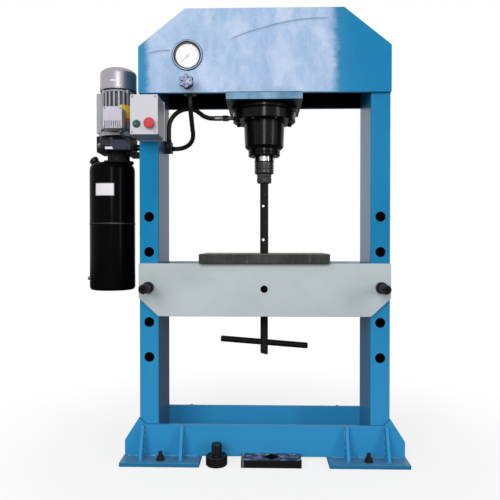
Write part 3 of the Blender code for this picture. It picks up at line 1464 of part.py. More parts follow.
def make_oil_tank():
    """A round tank with a rolled seam, a mouth for the pump and a slanting filler neck."""
    run = TANK_RADIUS - TANK_FLAT
    shoulder = arc((TANK_FLAT, TANK_TOP - TANK_SHOULDER), run, TANK_SHOULDER, 90, 0, TANK_STEPS)
    heel = TANK_RADIUS - TANK_FOOT
    foot = arc((heel, TANK_BOTTOM + TANK_FOOT), TANK_FOOT, TANK_FOOT, 0, -90, TANK_STEPS)
    half = 2 * TANK_SEAM
    seam = [
        (TANK_RADIUS, TANK_SEAM_Z + half),
        (TANK_RADIUS + TANK_SEAM, TANK_SEAM_Z),
        (TANK_RADIUS, TANK_SEAM_Z - half),
    ]
    profile = [(0, TANK_TOP)] + shoulder + seam + foot + [(0, TANK_BOTTOM)]
    tank = turned("oil_tank", profile, (TANK_X, 0, 0), steps=FINE)
    inner = TANK_RADIUS - TANK_WALL
    inner_shoulder = arc(
        (TANK_FLAT, TANK_TOP - TANK_SHOULDER), run - TANK_WALL, TANK_SHOULDER - TANK_WALL, 90, 0, TANK_STEPS
    )
    floor = TANK_BOTTOM + TANK_WALL
    inside = [(0, TANK_TOP - TANK_WALL)] + inner_shoulder
    inside += [(inner, TANK_BOTTOM + TANK_FOOT), (heel, floor), (0, floor)]
    weld(tank, make_filler_neck("oil_tank_filler", FILLER_RADIUS, FILLER_LENGTH, 0))
    cut(tank, turned("oil_tank_inside", inside, (TANK_X, 0, 0), steps=FINE))
    mouth = (PACK_X, 0, TANK_TOP)
    cut(tank, round_bar("oil_tank_mouth", TANK_MOUTH, 4 * TANK_WALL, mouth, sides=ROUND))
    cut(tank, make_filler_neck("oil_tank_filler_bore", FILLER_BORE, FILLER_LENGTH + OVERCUT, OVERCUT))
    drain = (TANK_X - TANK_RADIUS, 0, DRAIN_Z)
    cut(tank, round_bar("oil_tank_drain", DRAIN_RADIUS + SLIDE_FIT, 6 * TANK_WALL, drain, LEFTWARD, SMALL))
    return finish(tank, "black_gloss")


def filler_axis():
    return Vector((-math.sin(FILLER_TILT), 0, math.cos(FILLER_TILT)))


def make_filler_neck(name, radius, length, below):
    """A slanting cylinder that starts at the filler's foot, or some way below it."""
    middle = Vector(FILLER_FOOT) + filler_axis() * (length - below) / 2
    return round_bar(name, radius, length + below, middle, (0, -FILLER_TILT, 0), ROUND)


def make_filler_cap():
    """The breather cap on the filler neck, with its spigot inside."""
    place = Vector(FILLER_FOOT) + filler_axis() * (FILLER_LENGTH + GAP)
    chamfer = 0.003
    profile = [
        (0, CAP_HEIGHT),
        (CAP_RADIUS - chamfer, CAP_HEIGHT),
        (CAP_RADIUS, CAP_HEIGHT - chamfer),
        (CAP_RADIUS, 0),
        (FILLER_BORE - SLIDE_FIT, 0),
        (FILLER_BORE - SLIDE_FIT, -CAP_SPIGOT),
        (0, -CAP_SPIGOT),
    ]
    return finish(turned("filler_cap", profile, place, (0, -FILLER_TILT, 0), ROUND), "black_plastic")


def make_drain_plug():
    """A hexagon plug in the tank's wall."""
    wall = TANK_RADIUS + GAP
    inner = wall - DRAIN_SPIGOT
    middle = (TANK_X - (wall + inner) / 2 - OVERLAP / 2, 0, DRAIN_Z)
    plug = round_bar("drain_plug", DRAIN_RADIUS, DRAIN_SPIGOT + OVERLAP, middle, LEFTWARD, SMALL)
    head = (TANK_X - wall - DRAIN_HEAD / 2, 0, DRAIN_Z)
    weld(plug, round_bar("drain_plug_head", DRAIN_HEAD_RADIUS, DRAIN_HEAD, head, LEFTWARD, HEX))
    return finish(plug, "bright_steel")


def make_power_pack_bracket():
    """An angle that is bolted to the post and carries the manifold."""
    post_face = -(FRAME_WIDTH / 2 + GAP)
    x = (post_face - BRACKET_PLATE, post_face)
    y = (-BRACKET_HALF_DEPTH, BRACKET_HALF_DEPTH)
    bracket = box("power_pack_bracket", x, y, (BRACKET_BOTTOM, BRACKET_TOP))
    shelf_top = MANIFOLD_BOTTOM - GAP
    shelf_x = (MANIFOLD_RIGHT - BRACKET_REACH, post_face - BRACKET_PLATE / 2)
    weld(bracket, box("power_pack_shelf", shelf_x, y, (shelf_top - BRACKET_SHELF, shelf_top)))
    cut_pipe_holes(bracket, post_face - BRACKET_PLATE / 2, BRACKET_PLATE + 2 * OVERCUT)
    return finish(bracket, "blue_paint")


# Hoses.


def make_hose_block():
    """The black outlet block inside the left post, fed by two pipes from the manifold."""
    post_face = -BAY_WIDTH / 2
    block = box("hose_block", (post_face + GAP, BLOCK_FACE_X), BLOCK_Y, BLOCK_Z)
    start = post_face + GAP + OVERLAP
    end = MANIFOLD_RIGHT + GAP
    for number, (y, z) in enumerate(PIPE_PLACES):
        middle = ((start + end) / 2, y, z)
        weld(block, round_bar(f"hose_block_pipe_{number}", PIPE_RADIUS, start - end, middle, LEFTWARD, SMALL))
    length = NIPPLE + OVERLAP
    riser = (*RISER_PLACE, BLOCK_Z[1] + (NIPPLE - OVERLAP) / 2)
    weld(block, round_bar("hose_block_riser", NIPPLE_RADIUS, length, riser, UPRIGHT, SMALL))
    branch = (BLOCK_FACE_X + (NIPPLE - OVERLAP) / 2, *BRANCH_PLACE)
    weld(block, round_bar("hose_block_branch", NIPPLE_RADIUS, length, branch, RIGHTWARD, SMALL))
    return finish(block, "black_steel")


# Loose tools.


def make_pressing_head():
    """A round pressing head that stands on its face, shank up."""
    profile = [
        (0, HEAD_HEIGHT),
        (HEAD_SHANK_RADIUS - HEAD_CHAMFER, HEAD_HEIGHT),
        (HEAD_SHANK_RADIUS, HEAD_HEIGHT - HEAD_CHAMFER),
        (HEAD_SHANK_RADIUS, HEAD_DEPTH),
        (HEAD_RADIUS - HEAD_CHAMFER, HEAD_DEPTH),
        (HEAD_RADIUS, HEAD_DEPTH - HEAD_CHAMFER),
        (HEAD_RADIUS, HEAD_CHAMFER),
        (HEAD_RADIUS - HEAD_CHAMFER, 0),
        (0, 0),
    ]
    return finish(turned("pressing_head", profile, (HEAD_X, HEAD_Y, 0), steps=FINE), "dark_steel")


def make_v_block(name, facing):
    """A bar with a V notch in one long side. Two of them stand notch to notch."""
    seam = V_BLOCK_BACK - V_BLOCK_DEPTH - GAP
    inner = seam + facing * GAP
    outer = inner + facing * V_BLOCK_DEPTH
    outline = [
        (BLOCK_LEFT, outer),
        (BLOCK_RIGHT, outer),
        (BLOCK_RIGHT, inner),
        (V_NOTCH_X + V_NOTCH_HALF, inner),
        (V_NOTCH_X, inner + facing * V_NOTCH_DEPTH),
        (V_NOTCH_X - V_NOTCH_HALF, inner),
        (BLOCK_LEFT, inner),
    ]
    return finish(flat(name, outline, V_BLOCK_HEIGHT, (0, 0, V_BLOCK_HEIGHT / 2)), "dark_steel")


def stand_on_origin():
    """Hangs everything on one empty that puts the footprint's middle at the origin."""
    bpy.context.view_layer.update()
    depsgraph = bpy.context.evaluated_depsgraph_get()
    low = Vector((math.inf, math.inf))
    high = -low
    for piece in PARTS.objects:
        shown = piece.evaluated_get(depsgraph)
        mesh = shown.to_mesh()
        for vertex in mesh.vertices:
            place = shown.matrix_world @ vertex.co
            for axis in range(2):
                low[axis] = min(low[axis], place[axis])
                high[axis] = max(high[axis], place[axis])
        shown.to_mesh_clear()
    middle = (low + high) / 2
    stand = bpy.data.objects.new("press_stand", None)
    stand.location = (-middle.x, -middle.y, 0)
    PARTS.objects.link(stand)
    for piece in [*PARTS.objects, *CUTTERS.objects]:
        if piece != stand:
            piece.parent = stand


def main():
    left_post = make_post("post_left", -1)
    cut_pipe_holes(left_post, -POST_X, POST_WIDTH + 2 * OVERCUT)
    make_post("post_right", 1)
    make_crosshead_front_plate()
    make_crosshead_back_plate()
    make_crosshead_top_cover()
    make_crosshead_cradle()
    make_cylinder_mount_plate()
    make_base_beam("base_front_beam", -1)
    make_base_beam("base_back_beam", 1)
    make_foot("foot_left", -1)
    make_foot("foot_right", 1)
    for end, y in (("front", -ANCHOR_Y), ("back", ANCHOR_Y)):
        make_anchor_bolt(f"anchor_bolt_{end}_left", -ANCHOR_X, y)
        make_anchor_bolt(f"anchor_bolt_{end}_right", ANCHOR_X, y)
    make_bolster_plate("bolster_front_plate", -1)
    make_bolster_plate("bolster_back_plate", 1)
    make_bolster_web("bolster_web_left", -1)
    make_bolster_web("bolster_web_right", 1)
    make_table_plate()
    make_pin("pin_left", -1)
    make_pin("pin_right", 1)
    make_cylinder_barrel()
    make_cylinder_gland()
    make_piston_ram()
    make_ram_collar()
    make_rod_nut()
    make_lifting_rod()
    make_lifting_bar()
    make_cylinder_port_fitting()
    make_gauge_case()
    make_gauge_glass()
    make_gauge_needle()
    make_valve_body()
    make_valve_handwheel()
    make_control_box_base()
    make_control_box_lid()
    make_start_button()
    make_stop_button()
    make_motor_frame()
    make_motor_fan_cowl()
    make_motor_fan()
    make_motor_rotor()
    make_motor_terminal_box()
    make_pump_manifold()
    make_solenoid_valve()
    make_gear_pump()
    make_pump_drive_gear()
    make_pump_driven_gear()
    make_oil_tank()
    make_filler_cap()
    make_drain_plug()
    make_power_pack_bracket()
    make_hose_block()
    finish(tube("hose_to_cylinder", HOSE_TO_CYLINDER, HOSE_DIAMETER, 2), "rubber")
    finish(tube("hose_to_valve", HOSE_TO_VALVE, HOSE_DIAMETER, 2), "rubber")
    finish(tube("motor_cable", MOTOR_CABLE, CABLE_DIAMETER, 2), "rubber")
    make_pressing_head()
    make_v_block("v_block_front", -1)
    make_v_block("v_block_back", 1)
    stand_on_origin()


main()
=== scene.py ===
import math

import bmesh
import bpy
from mathutils import Matrix, Vector


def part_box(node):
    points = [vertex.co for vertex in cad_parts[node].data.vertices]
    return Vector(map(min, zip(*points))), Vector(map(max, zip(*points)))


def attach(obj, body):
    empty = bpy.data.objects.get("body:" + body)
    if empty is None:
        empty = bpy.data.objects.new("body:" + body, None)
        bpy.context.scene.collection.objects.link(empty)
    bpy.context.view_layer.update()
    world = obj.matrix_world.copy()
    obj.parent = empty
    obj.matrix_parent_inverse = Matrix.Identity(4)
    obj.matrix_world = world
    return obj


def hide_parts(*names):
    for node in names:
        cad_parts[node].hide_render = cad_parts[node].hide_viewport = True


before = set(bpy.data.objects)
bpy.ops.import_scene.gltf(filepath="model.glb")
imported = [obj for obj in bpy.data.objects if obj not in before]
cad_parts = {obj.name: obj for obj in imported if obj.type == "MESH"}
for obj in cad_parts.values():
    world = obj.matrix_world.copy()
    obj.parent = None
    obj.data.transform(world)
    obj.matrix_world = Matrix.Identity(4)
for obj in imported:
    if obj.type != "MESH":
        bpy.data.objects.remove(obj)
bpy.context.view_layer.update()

SCENE = bpy.context.scene


class Span:
    """Where a node of the frame is at rest."""

    def __init__(self, node):
        low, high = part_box(node)
        self.left, self.front, self.bottom = low
        self.right, self.back, self.top = high
        self.middle = (low + high) / 2
        self.size = high - low


RAM = Span("piston_ram")
POST = Span("post_left")
AXIS = Vector((RAM.middle.x, POST.middle.y, 0))

UP = (0, 0, 1)
DOWN = (0, 0, -1)
FRONT = (0, -1, 0)
LEFT = (-1, 0, 0)
RIGHT = (1, 0, 0)

# How a flat outline is stood up: across and up become world directions.
LYING = Matrix.Identity(3)
FACING_FRONT = Matrix(((1, 0, 0), (0, 0, -1), (0, 1, 0)))
FACING_SIDE = Matrix(((0, 0, 1), (1, 0, 0), (0, 1, 0)))

EDGE = 0.0012  # ease on the edge of a thick plate
CLEAR = 0.0004  # between a trim piece and what it sits on


def at(x, y, z):
    """A point given from the ram's axis, the middle of the posts and the floor."""
    return AXIS + Vector((x, y, z))


# Camera.

EYE = at(0.0, -2.350, 0.863)
LOOK_LEFT = math.radians(1.45)
LOOK_DOWN = math.radians(0.72)
LENS = 40.35


def make_camera():
    data = bpy.data.cameras.new("camera")
    data.lens = LENS
    data.sensor_width = 36.0
    camera = bpy.data.objects.new("camera", data)
    camera.location = EYE
    camera.rotation_euler = (math.pi / 2 - LOOK_DOWN, 0, LOOK_LEFT)
    SCENE.collection.objects.link(camera)
    SCENE.camera = camera


make_camera()


# Shader sums.


class Value:
    """A shader socket that sums can be written with."""

    def __init__(self, look, made, output=0):
        self.look = look
        self.made = made
        self.socket = made.outputs[output]

    def out(self, output):
        """Another output of the same node."""
        return Value(self.look, self.made, output)

    def sum(self, operation, first, second=0.0):
        return self.look.node("ShaderNodeMath", {"operation": operation}, {0: first, 1: second})

    def __add__(self, other):
        return self.sum("ADD", self, other)

    def __sub__(self, other):
        return self.sum("SUBTRACT", self, other)

    def __rsub__(self, other):
        return self.sum("SUBTRACT", other, self)

    def __mul__(self, other):
        return self.sum("MULTIPLY", self, other)

    def __truediv__(self, other):
        return self.sum("DIVIDE", self, other)

    __radd__ = __add__
    __rmul__ = __mul__

    def sine(self):
        return self.sum("SINE", self)

    def size(self):
        return self.sum("ABSOLUTE", self)

    def larger(self, other):
        return self.sum("MAXIMUM", self, other)

    def angle_from(self, other):
        return self.sum("ARCTAN2", self, other)

    def step(self, low, high):
        """0 up to low, 1 from high, smooth between them. low may be above high."""
        limits = {"Value": self, "From Min": low, "From Max": high}
        return self.look.node("ShaderNodeMapRange", {"interpolation_type": "SMOOTHSTEP"}, limits)


class Look:
    """A finish: one material and the nodes in it."""

    def __init__(self, name, roughness=0.5, metallic=0.0, specular=0.25, **uniform):
        self.material = bpy.data.materials.new(name)
        self.material.use_nodes = True
        self.tree = self.material.node_tree
        self.shader = self.tree.nodes["Principled BSDF"]
        self.set("Roughness", roughness)
        self.set("Metallic", metallic)
        self.set("Specular IOR Level", specular)
        for socket, value in uniform.items():
            self.set(socket.replace("_", " ").title(), value)
        self.place = self.node("ShaderNodeTexCoord").out("Object")

    def node(self, kind, settings=None, inputs=None):
        made = self.tree.nodes.new(kind)
        for key, value in (settings or {}).items():
            if key == "stops":
                self.set_stops(made.color_ramp, value)
            else:
                setattr(made, key, value)
        for key, value in (inputs or {}).items():
            self.put(made.inputs[key], value)
        return Value(self, made)

    def set_stops(self, ramp, stops):
        while len(ramp.elements) < len(stops):
            ramp.elements.new(1.0)
        for element, (position, colour) in zip(ramp.elements, stops):
            element.position = position
            element.color = (*colour, 1)

    def put(self, socket, value):
        if isinstance(value, Value):
            self.tree.links.new(value.socket, socket)
        elif hasattr(socket.default_value, "__len__") and len(value) < len(socket.default_value):
            socket.default_value = (*value, 1)
        else:
            socket.default_value = value

    def set(self, socket, value):
        self.put(self.shader.inputs[socket], value)

    def base(self, colour):
        self.set("Base Color", colour)

    def rough(self, value):
        self.set("Roughness", value)

    def mix(self, share, first, second):
        made = self.node("ShaderNodeMix", {"data_type": "RGBA"}, {0: share, 6: first, 7: second})
        return made.out(2)

    def noise(self, scale, detail=2.0, stretch=(1, 1, 1), rough=0.5):
        vector = self.node("ShaderNodeVectorMath", {"operation": "MULTIPLY"}, {0: self.place, 1: stretch})
        inputs = {"Vector": vector, "Scale": scale, "Detail": detail, "Roughness": rough}
        return self.node("ShaderNodeTexNoise", {}, inputs)

    def axes(self):
        split = self.node("ShaderNodeSeparateXYZ", {}, {0: self.place})
        return split, split.out(1), split.out(2)

    def facing(self):
        """The three parts of the surface's direction."""
        normal = self.node("ShaderNodeNewGeometry").out("Normal")
        split = self.node("ShaderNodeSeparateXYZ", {}, {0: normal})
        return split, split.out(1), split.out(2)

    def front(self, low, high):
        """1 on the faces that look to the front."""
        return (self.facing()[1] * -1.0).step(low, high)

    def colour(self):
        """The colour that has been set so far."""
        return Value(self, self.shader.inputs["Base Color"].links[0].from_node, 2)

    def reach(self, first, second):
        """The distance from an axis, from the two parts across it."""
        return self.node("ShaderNodeMath", {"operation": "SQRT"}, {0: first * first + second * second})

    def bump(self, height, distance, strength=1.0):
        inputs = {"Height": height, "Distance": distance, "Strength": strength}
        self.set("Normal", self.node("ShaderNodeBump", {}, inputs))


# Finishes.

BLUE = (0.010, 0.225, 0.450)
BLUE_DEEP = (0.006, 0.180, 0.380)
BLUE_LIGHT = (0.036, 0.300, 0.600)
# BLUE_SHADE_AND_MARKS colours the painted shade on side faces and the small paint marks.
BLUE_SHADE_AND_MARKS = (0.030, 0.075, 0.120)
# SLATE is the painted shade and reflection on a post's inner side.
SLATE = (0.056, 0.100, 0.190)
# The PALE colours are the crosshead's painted reflection.
PALE = (0.420, 0.545, 0.745)
PALE_LIGHT = (0.545, 0.640, 0.825)
PALE_DEEP = (0.320, 0.465, 0.685)
GREY = (0.430, 0.490, 0.505)
GREY_LIGHT = (0.520, 0.575, 0.590)
WHITE = (0.900, 0.900, 0.900)


def shade(colour, share):
    return tuple(part * share for part in colour)


def sprayed(look):
    """The fine ripple and the small marks of sprayed paint."""
    ripple = look.noise(260.0, 2.0)
    flow = look.noise(35.0, 3.0)
    look.bump(ripple * 0.6 + flow, 0.00035, 0.35)
    look.rough(0.26 + look.noise(9.0, 4.0) * 0.16)
    return look.noise(140.0, 5.0, rough=0.7).step(0.66, 0.76)


BLUR = 0.0005  # half the width over which one colour passes into another


def blue_paint(name, painted_shade_side=0, shaded_edges=True, tube=None):
    """Blue paint. painted_shade_side is the X direction of the faces that get a painted shade and reflection
    in slate.

    tube is the span of a box section, whose inside is painted black as painted shade.
    """
    look = Look(name, specular=0.05 if painted_shade_side else 0.13)
    marks = sprayed(look)
    cloud = look.noise(2.2, 3.0)
    paint = look.mix(cloud.step(0.32, 0.70), BLUE_DEEP, BLUE)
    _, _, height = look.axes()
    # Painted light: the paint is lighter towards the floor.
    paint = look.mix(height.step(1.05, 0.10) * 0.90, paint, BLUE_LIGHT)
    run = look.noise(14.0, 3.0, (1, 1, 0.12)).step(0.50, 0.74)
    paint = look.mix(run * 0.34, paint, BLUE_LIGHT)
    across, deep, _ = look.facing()
    if painted_shade_side:
        # Painted shade and reflection: the faces turned to painted_shade_side take the slate colour.
        inner = (across * painted_shade_side).step(0.55, 0.85)
        paint = look.mix(inner * 0.92, paint, SLATE)
    elif shaded_edges:
        # Painted shade: faces that look neither to the front nor to the back are darkened.
        paint = look.mix(deep.size().step(0.62, 0.18) * 0.35, paint, BLUE_SHADE_AND_MARKS)
    paint = look.mix(marks * 0.22, paint, BLUE_SHADE_AND_MARKS)
    if tube is not None:
        side, depth, _ = look.axes()
        half_x = (tube.size.x - POST_WALL) / 2
        half_y = (tube.size.y - POST_WALL) / 2
        # Painted shade: the inside of the box section is near black.
        inside = (side - tube.middle.x).size().step(half_x + BLUR, half_x - BLUR)
        inside = inside * (depth - tube.middle.y).size().step(half_y + BLUR, half_y - BLUR)
        paint = look.mix(inside, paint, (0.003, 0.004, 0.008))
        look.rough(0.30 + inside * 0.70)
    look.base(paint)
    return look


def weld_paint(name):
    """Paint over a weld: paler on the ridges."""
    look = Look(name, 0.32, 0.0, 0.25)
    ridge = look.noise(180.0, 3.0).step(0.40, 0.64)
    look.base(look.mix(ridge, BLUE, (0.190, 0.390, 0.560)))
    look.bump(look.noise(240.0), 0.0005, 0.5)
    return look


def foot_paint(name):
    """The feet's blue, dusty grey on top, with painted shade on the sides of the floor plates near the floor.
    """
    look = blue_paint(name, shaded_edges=False)
    plain = look.colour()
    _, _, up = look.facing()
    _, _, height = look.axes()
    trodden = look.noise(11.0, 4.0).step(0.30, 0.70)
    dusty = look.mix(trodden, (0.065, 0.225, 0.390), (0.110, 0.280, 0.440))
    paint = look.mix(up.step(0.6, 0.95), plain, dusty)
    # Painted shade: the side faces near the floor are darkened.
    low = height.step(0.018, 0.012) * up.step(0.6, 0.3)
    look.base(look.mix(low * 0.55, paint, (0.012, 0.070, 0.150)))
    return look


def crosshead_paint(name, left, right, bottom):
    """The crosshead's blue, with a broad pale painted reflection from its left end to three quarters."""
    look = Look(name, specular=0.13)
    marks = sprayed(look)
    across, _, height = look.axes()
    width = right - left
    _, deep, _ = look.facing()
    front = (deep * -1.0).step(0.6, 0.9)
    ragged = look.noise(6.5, 6.0, (1, 1, 0.8), 0.66) - 0.5
    fringe = look.noise(70.0, 4.0, (0.5, 1, 1.6), 0.65) - 0.5
    share = (across - left) / width + ragged * 0.085 + fringe * 0.024
    begin = share.step(0.020, 0.056)
    end = share.step(0.796, 0.748)
    lower = (height + ragged * 0.006).step(bottom + 0.001, bottom + 0.004)
    # Painted reflection: the pale glare on the front face.
    painted_glare = begin * end * lower * front
    streaks = look.noise(26.0, 5.0, (1.0, 1, 0.30), 0.62)
    cloud = look.noise(9.0, 4.0, (1, 1, 0.7), 0.6)
    pale = look.mix(streaks.step(0.34, 0.68), PALE_DEEP, PALE)
    pale = look.mix(cloud.step(0.44, 0.66) * 0.80, pale, PALE_LIGHT)
    # Bright flecks within the painted reflection.
    glare_fleck = look.noise(95.0, 4.0, (1.0, 1, 0.7), 0.7).step(0.52, 0.70)
    pale = look.mix(glare_fleck * 0.45, pale, PALE_LIGHT)
    speck = look.noise(150.0, 3.0, (1.0, 1, 0.4), 0.7).step(0.54, 0.68)
    pale = look.mix(speck * 0.55, pale, PALE_DEEP)
    blue = look.mix(look.noise(2.0, 3.0).step(0.35, 0.65), BLUE_DEEP, BLUE)
    # Painted reflection: a faint pale veil further to the right.
    glare_veil = share.step(0.86, 0.76) * 0.07 * front
    blue = look.mix(glare_veil, blue, PALE)
    paint = look.mix(painted_glare, blue, pale)
    shake = (look.noise(14.0, 4.0) - 0.5) * 0.008
    for start, length, foot, rise in ((0.357, 0.388, 0.206, 0.083), (0.040, 0.087, 0.155, 0.014)):
        run = ((across - left) / width - start) / length
        climb = run * (2.0 - run) * rise
        off = height - (bottom + foot) - climb + shake
        held = run.step(-0.02, 0.10) * run.step(1.04, 0.97)
        # Painted shadow: a soft dark band just under each line.
        painted_shadow_below = off.step(-0.016, -0.002) * off.step(0.001, -0.001)
        line = off.size().step(0.0042, 0.0008).larger(painted_shadow_below * 0.35)
        paint = look.mix(line * held * painted_glare * 0.70, paint, (0.090, 0.180, 0.290))
    # Painted shade: faces that look neither to the front nor to the back are darkened.
    paint = look.mix(deep.size().step(0.62, 0.18) * 0.45, paint, BLUE_SHADE_AND_MARKS)
    look.base(look.mix(marks * 0.15, paint, BLUE_DEEP))
    look.rough(0.30 + painted_glare * 0.22)
    return look


def mount_paint(name):
    """Blue paint, pale on its front face as painted light, with painted black shade on its other faces and
    along the front's top edge.
    """
    look = Look(name, specular=0.25)
    marks = sprayed(look)
    # Painted light: mottled pale colours for the front face.
    rubbed = look.noise(9.0, 3.0, (1, 1, 0.3)).step(0.38, 0.62)
    pale = look.mix(rubbed, (0.050, 0.185, 0.310), (0.160, 0.335, 0.490))
    streak = look.noise(40.0, 4.0, (0.6, 1, 2.0)).step(0.50, 0.68)
    pale = look.mix(streak * 0.35, pale, (0.290, 0.440, 0.590))
    _, _, height = look.axes()
    top = Span("cylinder_mount_plate").top
    # Painted shade: a dark band along the top of the front face.
    pale = look.mix(height.step(top - 0.0050, top - 0.0025) * 0.85, pale, (0.010, 0.060, 0.110))
    # Painted light and shade: the front face is pale, the other faces near black.
    paint = look.mix(look.front(0.5, 0.9), (0.003, 0.004, 0.006), pale)
    look.base(look.mix(marks * 0.3, paint, BLUE_SHADE_AND_MARKS))
    return look


def back_shaded_paint(name):
    """Blue outside, painted black shade on the side that faces into the crosshead."""
    look = blue_paint(name)
    look.base(look.mix(look.front(0.5, 0.9), look.colour(), (0.002, 0.002, 0.0025)))
    return look


def shade_paint(name):
    """The inside of the crosshead: painted black shade, with dust."""
    look = Look(name, roughness=0.7, specular=0.08)
    dust = look.noise(14.0, 4.0).step(0.55, 0.85)
    look.base(look.mix(dust * 0.5, (0.003, 0.003, 0.0035), (0.012, 0.013, 0.015)))
    look.bump(look.noise(150.0), 0.0004, 0.4)
    return look


def grey_paint(name):
    look = Look(name, specular=0.2)
    marks = sprayed(look)
    cloud = look.noise(3.2, 4.0).step(0.30, 0.72)
    paint = look.mix(cloud, GREY, GREY_LIGHT)
    smear = look.noise(11.0, 5.0, (0.5, 1, 1.2), 0.6).step(0.58, 0.80)
    paint = look.mix(smear * 0.16, paint, (0.260, 0.300, 0.320))
    _, deep, up = look.facing()
    paint = look.mix(up.step(0.4, 0.9) * 0.22, paint, (0.300, 0.330, 0.350))
    # Painted shade: faces that look down are darkened.
    paint = look.mix((up * -1.0).step(0.4, 0.9) * 0.7, paint, (0.085, 0.095, 0.100))
    # Painted shade: faces that look neither front nor back are darkened a little.
    paint = look.mix(deep.size().step(0.6, 0.2) * 0.12, paint, (0.120, 0.130, 0.140))
    table = Span("table_plate")
    across, _, height = look.axes()
    near = (across - table.middle.x).size().step(table.size.x / 2 + 0.006, table.size.x / 2 - 0.014)
    # Painted shadow: a dark band on the bolster just under the table.
    painted_table_shadow = near * height.step(table.bottom - 0.020, table.bottom + 0.002)
    paint = look.mix(painted_table_shadow * 0.62, paint, (0.075, 0.078, 0.080))
    look.base(look.mix(marks * 0.20, paint, (0.180, 0.200, 0.210)))
    look.rough(0.40 + look.noise(7.0, 3.0) * 0.15)
    return look


def black_gloss(name, seam=None, shine=0.07):
    """Thick black gloss paint, with dust settled in its finest ripple, and a painted highlight along a given
    seam.
    """
    look = Look(name, specular=shine)
    flow = look.noise(24.0, 3.0)
    look.bump(flow + look.noise(300.0) * 0.25, 0.0005, 0.35)
    dust = look.noise(90.0, 5.0, rough=0.7).step(0.60, 0.80)
    wipe = look.noise(5.0, 4.0, (1, 1, 0.35)).step(0.45, 0.75)
    paint = look.mix(wipe * 0.5, (0.0020, 0.0020, 0.0024), (0.0045, 0.0045, 0.0050))
    if seam is not None:
        _, _, height = look.axes()
        # Painted highlight: a pale band along the seam, patchy along its length.
        near = (height - seam).size().step(0.0036, 0.0008)
        rubbed = look.noise(7.0, 3.0, (1, 1, 0.1)).step(0.42, 0.62)
        paint = look.mix(near * (0.25 + rubbed * 0.6), paint, (0.140, 0.140, 0.145))
    look.base(look.mix(dust * 0.25, paint, (0.020, 0.020, 0.021)))
    look.rough(0.16 + wipe * 0.12)
    return look


def scaled_steel(name, base, bare, wear=0.5):
    """Dark rolled steel: scale, a brown cast, and bare metal where it has rubbed."""
    look = Look(name, specular=0.12)
    scale_marks = look.noise(42.0, 6.0, rough=0.65)
    brown = look.noise(7.0, 4.0).step(0.35, 0.70)
    metal = look.mix(brown * 0.5, base, tuple(c * k for c, k in zip(base, (1.6, 1.25, 1.0))))
    scratch = look.noise(16.0, 6.0, (14, 1, 1), 0.7).step(0.62, 0.74)
    rubbed = scale_marks.step(0.56, 0.72) * wear
    metal = look.mix(rubbed.larger(scratch * wear * 0.7), metal, bare)
    look.base(metal)
    look.set("Metallic", rubbed * 0.6)
    look.rough(0.52 - rubbed * 0.2 + look.noise(60.0) * 0.1)
    look.bump(scale_marks + look.noise(400.0) * 0.3, 0.0006, 0.5)
    return look


def table_steel(name):
    """The table: dark flame-cut edges, a paler rubbed top, pitted all over."""
    look = Look(name, specular=0.15)
    pits = look.noise(70.0, 6.0, rough=0.7)
    cloud = look.noise(9.0, 4.0).step(0.35, 0.65)
    edge = look.mix(cloud, (0.024, 0.025, 0.022), (0.050, 0.052, 0.047))
    top = look.mix(cloud, (0.130, 0.110, 0.094), (0.240, 0.208, 0.180))
    _, _, up = look.facing()
    metal = look.mix(up.step(0.3, 0.8), edge, top)
    drag = look.noise(10.0, 5.0, (12, 1, 1), 0.7).step(0.58, 0.72)
    metal = look.mix(drag * 0.35, metal, (0.330, 0.310, 0.290))
    cut = look.noise(120.0, 2.0, (3.0, 3.0, 0.15)).step(0.45, 0.7)
    metal = look.mix(cut * 0.18 * up.step(0.6, 0.1), metal, (0.120, 0.118, 0.110))
    look.base(metal)
    look.rough(0.48 + pits * 0.15)
    look.bump(pits, 0.0010, 0.55)
    return look


LATHE_RINGS = 2600.0
KNURL_RIBS = 54.0
KNURL_PITCH = 1500.0


def turned_steel(name, colour, roughness=0.3, metallic=1.0, deep=False):
    """Machined metal, with the fine rings that a lathe leaves along its axis."""
    look = Look(name, roughness, metallic, 0.5)
    _, depth, height = look.axes()
    rings = ((depth if deep else height) * LATHE_RINGS).sine()
    stain = look.noise(30.0, 4.0).step(0.45, 0.75)
    look.base(look.mix(stain * 0.45, colour, shade(colour, 0.55)))
    look.rough(roughness + stain * 0.12 + rings * 0.02)
    look.bump(rings, 0.00004, 0.25)
    return look


def knurled_steel(name, middle, colour, deep=False):
    """Blackened steel with a diamond knurl round an axis through middle."""
    look = Look(name, 0.45, 0.75, 0.4)
    across, depth, height = look.axes()
    across = across - middle.x
    if deep:
        turn = (height - middle.z).angle_from(across)
        along = depth
    else:
        turn = (depth - middle.y).angle_from(across)
        along = height
    one = (turn * KNURL_RIBS + along * KNURL_PITCH).sine()
    two = (turn * KNURL_RIBS - along * KNURL_PITCH).sine()
    points = one * two
    worn = points.step(0.2, 0.9) * look.noise(40.0, 3.0).step(0.35, 0.6)
    bright = tuple(min(1.0, c * 5 + 0.10) for c in colour)
    look.base(look.mix(worn * 0.55, colour, bright))
    look.rough(0.48 - worn * 0.15)
    look.bump(points, 0.0006, 0.8)
    return look


def chrome(name, middle):
    """Bright chrome on an upright bar, with painted reflections: dark bands beside bright ones round its
    axis.
    """
    look = Look(name, 0.10, 1.0, 0.5)
    across, depth, _ = look.axes()
    turn = (depth - middle.y).angle_from(across - middle.x)
    # Painted reflection: bright and dark bands by the angle round the axis.
    band = (turn * 4.0 + math.pi / 2).sine().step(-0.75, 0.95)
    haze = look.noise(20.0, 4.0).step(0.4, 0.8)
    bright = look.mix(haze * 0.45, (0.66, 0.66, 0.67), (0.40, 0.40, 0.42))
    look.base(look.mix(band, (0.035, 0.035, 0.040), bright))
    wipe = look.noise(9.0, 5.0, (1, 1, 14)).step(0.45, 0.75)
    look.rough(0.10 + wipe * 0.10)
    return look


